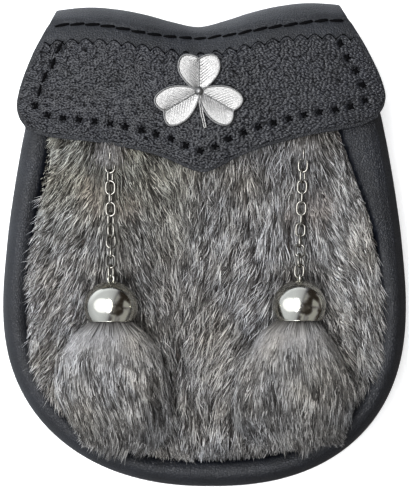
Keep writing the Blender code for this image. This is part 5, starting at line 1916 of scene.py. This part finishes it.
@dataclass
class Tassel:
    """Fur bound in the bell: a core, soft hair that flares from the mouth, and grizzled locks below."""

    drop: Drop
    # Distance below the mouth, half the thickness and height over the back.
    stations: tuple[tuple[float, float, float], ...] = (
        (-6.0, 8.6, 44.6), (-0.5, 8.9, 44.6), (1.5, 9.4, 44.9), (4.0, 9.9, 45.3), (10.0, 10.7, 45.9),
        (18.0, 10.6, 46.0), (27.0, 10.0, 45.6), (36.0, 9.0, 44.9), (44.0, 7.7, 44.2), (51.0, 5.9, 43.4),
        (57.0, 3.9, 42.4), (63.0, 2.0, 41.4),
    )  # fmt: skip
    hairs: int = 10800
    # Below this distance the hairs fall almost straight.
    brush: float = 40.0
    core_end: float = 56.0
    # A lock's turn about the tassel and its length.
    tuft: tuple[float, float] = (0.17, 7.0)
    fur: Coat = Coat(soft=("#585552", "#8d8a87", "#9b9895"), bright_share=0.38, dark_share=0.22)

    def half_at(self, below: np.ndarray) -> np.ndarray:
        """Half the tassel's width at distances below the mouth."""
        return read_rows(self.drop.shape, below)[1]

    def surface(self, turn: np.ndarray, below: np.ndarray, lift: np.ndarray | float,
                brush: float = 1e3) -> np.ndarray:  # fmt: skip
        """Points on the tassel's skin, lifted off it.

        Args:
            turn: Turns about the tassel's length.
            below: Distances below the mouth.
            lift: How far off the skin.
            brush: The distance below which the skin runs on almost straight, as the hairs do.

        Returns:
            The points in millimetres.
        """
        thick, z = read_rows(self.stations, below)
        middle, half = read_rows(self.drop.shape, below)
        straight = self.half_at(np.minimum(below, brush)) * (1 - 0.014 * np.clip(below - brush, 0, None))
        half = np.where(below > brush, np.maximum(straight, half), half)
        x = self.drop.bell_x + middle + (half + lift) * np.cos(turn)
        return np.column_stack([x, self.drop.mouth_y() - below, z + (thick + lift) * np.sin(turn)])

    def core(self) -> None:
        """The dense body of the tassel that the hairs stand on."""
        top = self.stations[0][0]

        def form(u: np.ndarray, v: np.ndarray) -> np.ndarray:
            """A closed, fluted tube below the hairs."""
            below = top + (self.core_end - top) * (1 - v)
            groove = 0.5 * np.abs(np.sin(u * math.pi * 11)) * smoothstep(4, 20, below)
            return self.surface(u * 2 * math.pi, below, -1.6 - groove)

        core = formed_sheet(f"tassel_core_{self.drop.side}", 66, 40, form)
        with editing(core):
            bpy.ops.mesh.remove_doubles(threshold=1e-5)
        close_ends(core)
        finish_piece(core, Finish.UNDERFUR, [f"fur_tassel_{self.drop.side}"], 60.0)

    def coat(self) -> Hairs:
        """The hairs, soft and fanned at the mouth and in locks lower down."""
        wild = np.random.default_rng(self.drop.seed)
        count = self.hairs
        # More hairs on the front and sides than on the underside that lies on the panel.
        turn = math.pi / 2 + np.clip(wild.normal(0, 1.25, count), -math.pi, math.pi)
        start = wild.uniform(-1.2, 53.0, count)
        tuft_turn, tuft_length = self.tuft
        row = np.floor(start / tuft_length)
        column = np.floor(turn / tuft_turn + 0.5 * (row % 2))
        mood = np.random.default_rng(self.drop.seed + 100).normal(size=(64, 64, 4))
        longer, aside, higher, brighter = mood[column.astype(int) % 64, row.astype(int) % 64].T
        length = (13.5 + 1.6 * longer + wild.normal(0, 1.3, count)) * (1 - 0.25 * smoothstep(20, 50, start))
        end = start + np.clip(length, 6, 18)
        # The hairs end where the tassel's outline crosses them.
        low = np.array([row for row in self.drop.shape[::-1] if row[0] >= 36.0])
        beside = np.abs(np.cos(turn)) * self.half_at(np.full(count, self.brush)) * 0.9
        longest = np.interp(beside, low[:, 2], low[:, 0]) - 1.0 + 1.0 * np.sin(turn * 9 + self.drop.seed)
        longest = longest + 1.4 * longer + wild.normal(0, 1.2, count)
        end = np.minimum(end, np.maximum(longest, start + 3.0))
        drift = np.radians(2.4 * aside + wild.normal(0, 2.6, count))
        soft = 1 - smoothstep(2.0, 17.0, start + 3.0 * higher + wild.normal(0, 2.0, count))
        lift = (0.9 + 0.45 * higher + wild.normal(0, 0.25, count)).clip(0.1, 2.2) * (1 - 0.45 * soft)
        lift = lift * smoothstep(-2, 6, start + 3)
        root = self.surface(turn, start, -1.5)
        mid = self.surface(turn + drift * 0.5, (start + end) / 2, lift, self.brush)
        flank = np.abs(np.cos(turn)) * smoothstep(8, 30, start)
        stand = lift * wild.uniform(0.3, 1.3, count) + wild.uniform(-1, 2.2, count) * flank
        tip = self.surface(turn + drift, end, stand, self.brush)
        # Pale where the light rabbit underfur shows near the mouth, dark grizzle at the bottom.
        tone = 1.05 - 0.08 * (self.drop.bell_x > 0) + 0.1 * aside - 0.26 * smoothstep(24, 48, start)
        # The window is on the left, so the right flank lies in shade.
        tone = tone - 0.24 * smoothstep(0.25, 1.0, np.cos(turn)) + 0.06 * smoothstep(0.1, 0.8, -np.cos(turn))
        shades = self.fur.paint(wild, tone, brighter, soft * 0.8)
        width = 0.47 * wild.uniform(0.7, 1.25, count) * (1 + 0.45 * soft)
        return Hairs(root, mid, tip, width, shades)

    def build(self) -> None:
        """Makes the core and the hairs."""
        self.core()
        self.coat().build(f"tassel_hair_{self.drop.side}")


# ---------------------------------------------------------------- carried-over solids, camera and light


@dataclass(frozen=True)
class CarriedSolids:
    """CAD nodes whose shapes stay, with their finishes."""

    finishes: tuple[tuple[str, Finish], ...] = (
        ("back_panel", Finish.CALF),
        ("press_stud", Finish.ENAMEL),
        ("chain_anchor_left", Finish.WIRE),
        ("chain_anchor_right", Finish.WIRE),
    )

    def dress(self, nodes: dict[str, Object]) -> None:
        """Gives each node its finish.

        Args:
            nodes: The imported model's objects by name.
        """
        for name, finish in self.finishes:
            for slot in nodes[name].material_slots:
                slot.material = finish.material()
            LOG.info("%s: %s", name, finish.value.name)


@dataclass
class Studio:
    """White paper floor, soft light from the upper left, and the photograph's camera, in metres."""

    camera_height: float = 1.2
    camera_y: float = 0.00055
    lens: float = 195.55
    sensor: float = 36.0
    floor_z: float = -0.0006

    def camera(self) -> None:
        """The camera, straight above the pouch."""
        data = bpy.data.cameras.new("product_camera")
        data.sensor_fit = "VERTICAL"
        data.sensor_height = self.sensor
        data.lens = self.lens
        data.clip_end = 20.0
        camera = linked("product_camera", data)
        camera.location = (0.0, self.camera_y, self.camera_height)
        bpy.context.scene.camera = camera

    def floor(self) -> None:
        """A large sheet of paper just under the pouch."""
        paper = primitive(bpy.ops.mesh.primitive_grid_add, x_subdivisions=8, y_subdivisions=8, size=6.0)
        paper.name = "paper_floor"
        spots = points_of(paper)
        spots[:, 2] = self.floor_z
        move_points(paper, spots)
        paper.data.materials.append(Finish.PAPER.material())
        # The room, and not the glowing paper, is what the leather's edges and the bells mirror.
        paper.visible_glossy = False

    def softbox(self, name: str, place: Sequence[float], aim: Sequence[float], size: tuple[float, float],
                radiance: float, colour: str) -> Object:  # fmt: skip
        """An oval diffused light.

        Args:
            name: Its name.
            place: Its middle.
            aim: The point it faces.
            size: Its width and length.
            radiance: How bright its face is.
            colour: Its sRGB colour.

        Returns:
            The light's object.
        """
        data = bpy.data.lights.new(name, "AREA")
        data.shape = "ELLIPSE"
        data.size, data.size_y = size
        data.energy = radiance * math.pi * size[0] * size[1] * math.pi / 4
        data.color = linear(colour)
        lamp = linked(name, data)
        lamp.location = place
        lamp.rotation_euler = (Vector(aim) - Vector(place)).to_track_quat("-Z", "Y").to_euler()
        return lamp

    @staticmethod
    def surroundings() -> None:
        """A pale room: bright on the left, dark on the right."""
        world = bpy.data.worlds.new("pale_studio")
        bpy.context.scene.world = world
        room = Shading(world, "Background", "Generated")
        ways = room.node("SeparateXYZ", {0: room.where}).outputs
        lean = room.node("Math", {0: ways["Y"], 1: -0.3, 2: ways["X"]}, operation="MULTIPLY_ADD").outputs[0]
        side = room.node("Math", {0: lean, 1: 0.4, 2: 0.5}, operation="MULTIPLY_ADD").outputs[0]
        walls = room.ramp(
            side, (0.0, "#e6ecf5"), (0.3, "#e3e9f0"), (0.46, "#cbcfd6"), (0.515, "#b2b4ba"),
            (0.55, "#6f707a"), (0.62, "#4b4e53"), (0.78, "#3c3a35"), (1.0, "#484540"),
        )  # fmt: skip
        # Darker furniture with paler gaps, as the bells mirror it on their right.
        patches = {"Scale": 1.9, "Detail": 1.5, "Distortion": 0.5, "Vector": room.where}
        things = room.ramp(
            room.node("TexNoise", patches).outputs["Fac"],
            (0.42, "#302b26"), (0.5, "#57524d"), (0.55, "#86848a"), (0.63, "#b0b1ad"),
        )  # fmt: skip
        furnished = room.ramp(side, (0.53, 0.0), (0.6, 1.0))
        # Light rises from the pale table behind the pouch; the table in front of it is darker.
        sink = room.node("MapRange", {"Value": ways["Z"], "From Min": 0.15, "From Max": -0.35}).outputs[0]
        rise = {"Value": ways["Y"], "From Max": 0.8, "To Min": 0.65, "To Max": 2.2}
        table = room.node("MapRange", rise).outputs[0]
        low = room.node("Mix", {"Factor": sink, 2: 1.0, 3: table}).outputs[0]
        lit = room.node("VectorMath", {0: walls, "Scale": low}, operation="SCALE").outputs[0]
        room.shade(Color=room.mix(furnished, lit, things), Strength=1.12)

    def build(self) -> None:
        """Sets up the whole studio."""
        self.camera()
        self.floor()
        self.surroundings()
        self.softbox("overhead", (-0.14, 0.08, 0.75), (-0.14, 0.08, 0.0), (0.36, 0.85), 6.4, "#fcfdff")
        self.softbox("window", (-0.62, 0.1, 0.72), (-0.2, 0.04, 0.0), (1.1, 1.5), 1.02, "#fbfcff")
        fill = self.softbox("bounce_right", (0.6, -0.25, 0.9), (0.0, 0.0, 0.03), (0.9, 1.1), 0.95, "#fffefa")
        # The bounce lifts the fur's shade and isn't wanted as a second image in the bells.
        fill.visible_glossy = False
        bpy.context.scene.view_settings.view_transform = "Standard"


def main() -> None:
    """Builds the pouch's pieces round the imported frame, in order."""
    logging.basicConfig(level=logging.INFO, format="%(name)s: %(message)s")
    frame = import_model()
    Studio().build()
    RolledBorder().build()
    BackSeam().build()
    FoldedFlap().build()
    overlay = PebbledOverlay()
    overlay.build()
    FlapStitching(overlay).build()
    ShamrockBadge().build()
    FurPanel().build()
    for drop in DROPS:
        Chain(drop).build()
        Bell(drop).build()
        Tassel(drop).build()
    CarriedSolids().dress(frame["nodes"])


if __name__ == "__main__":
    main()
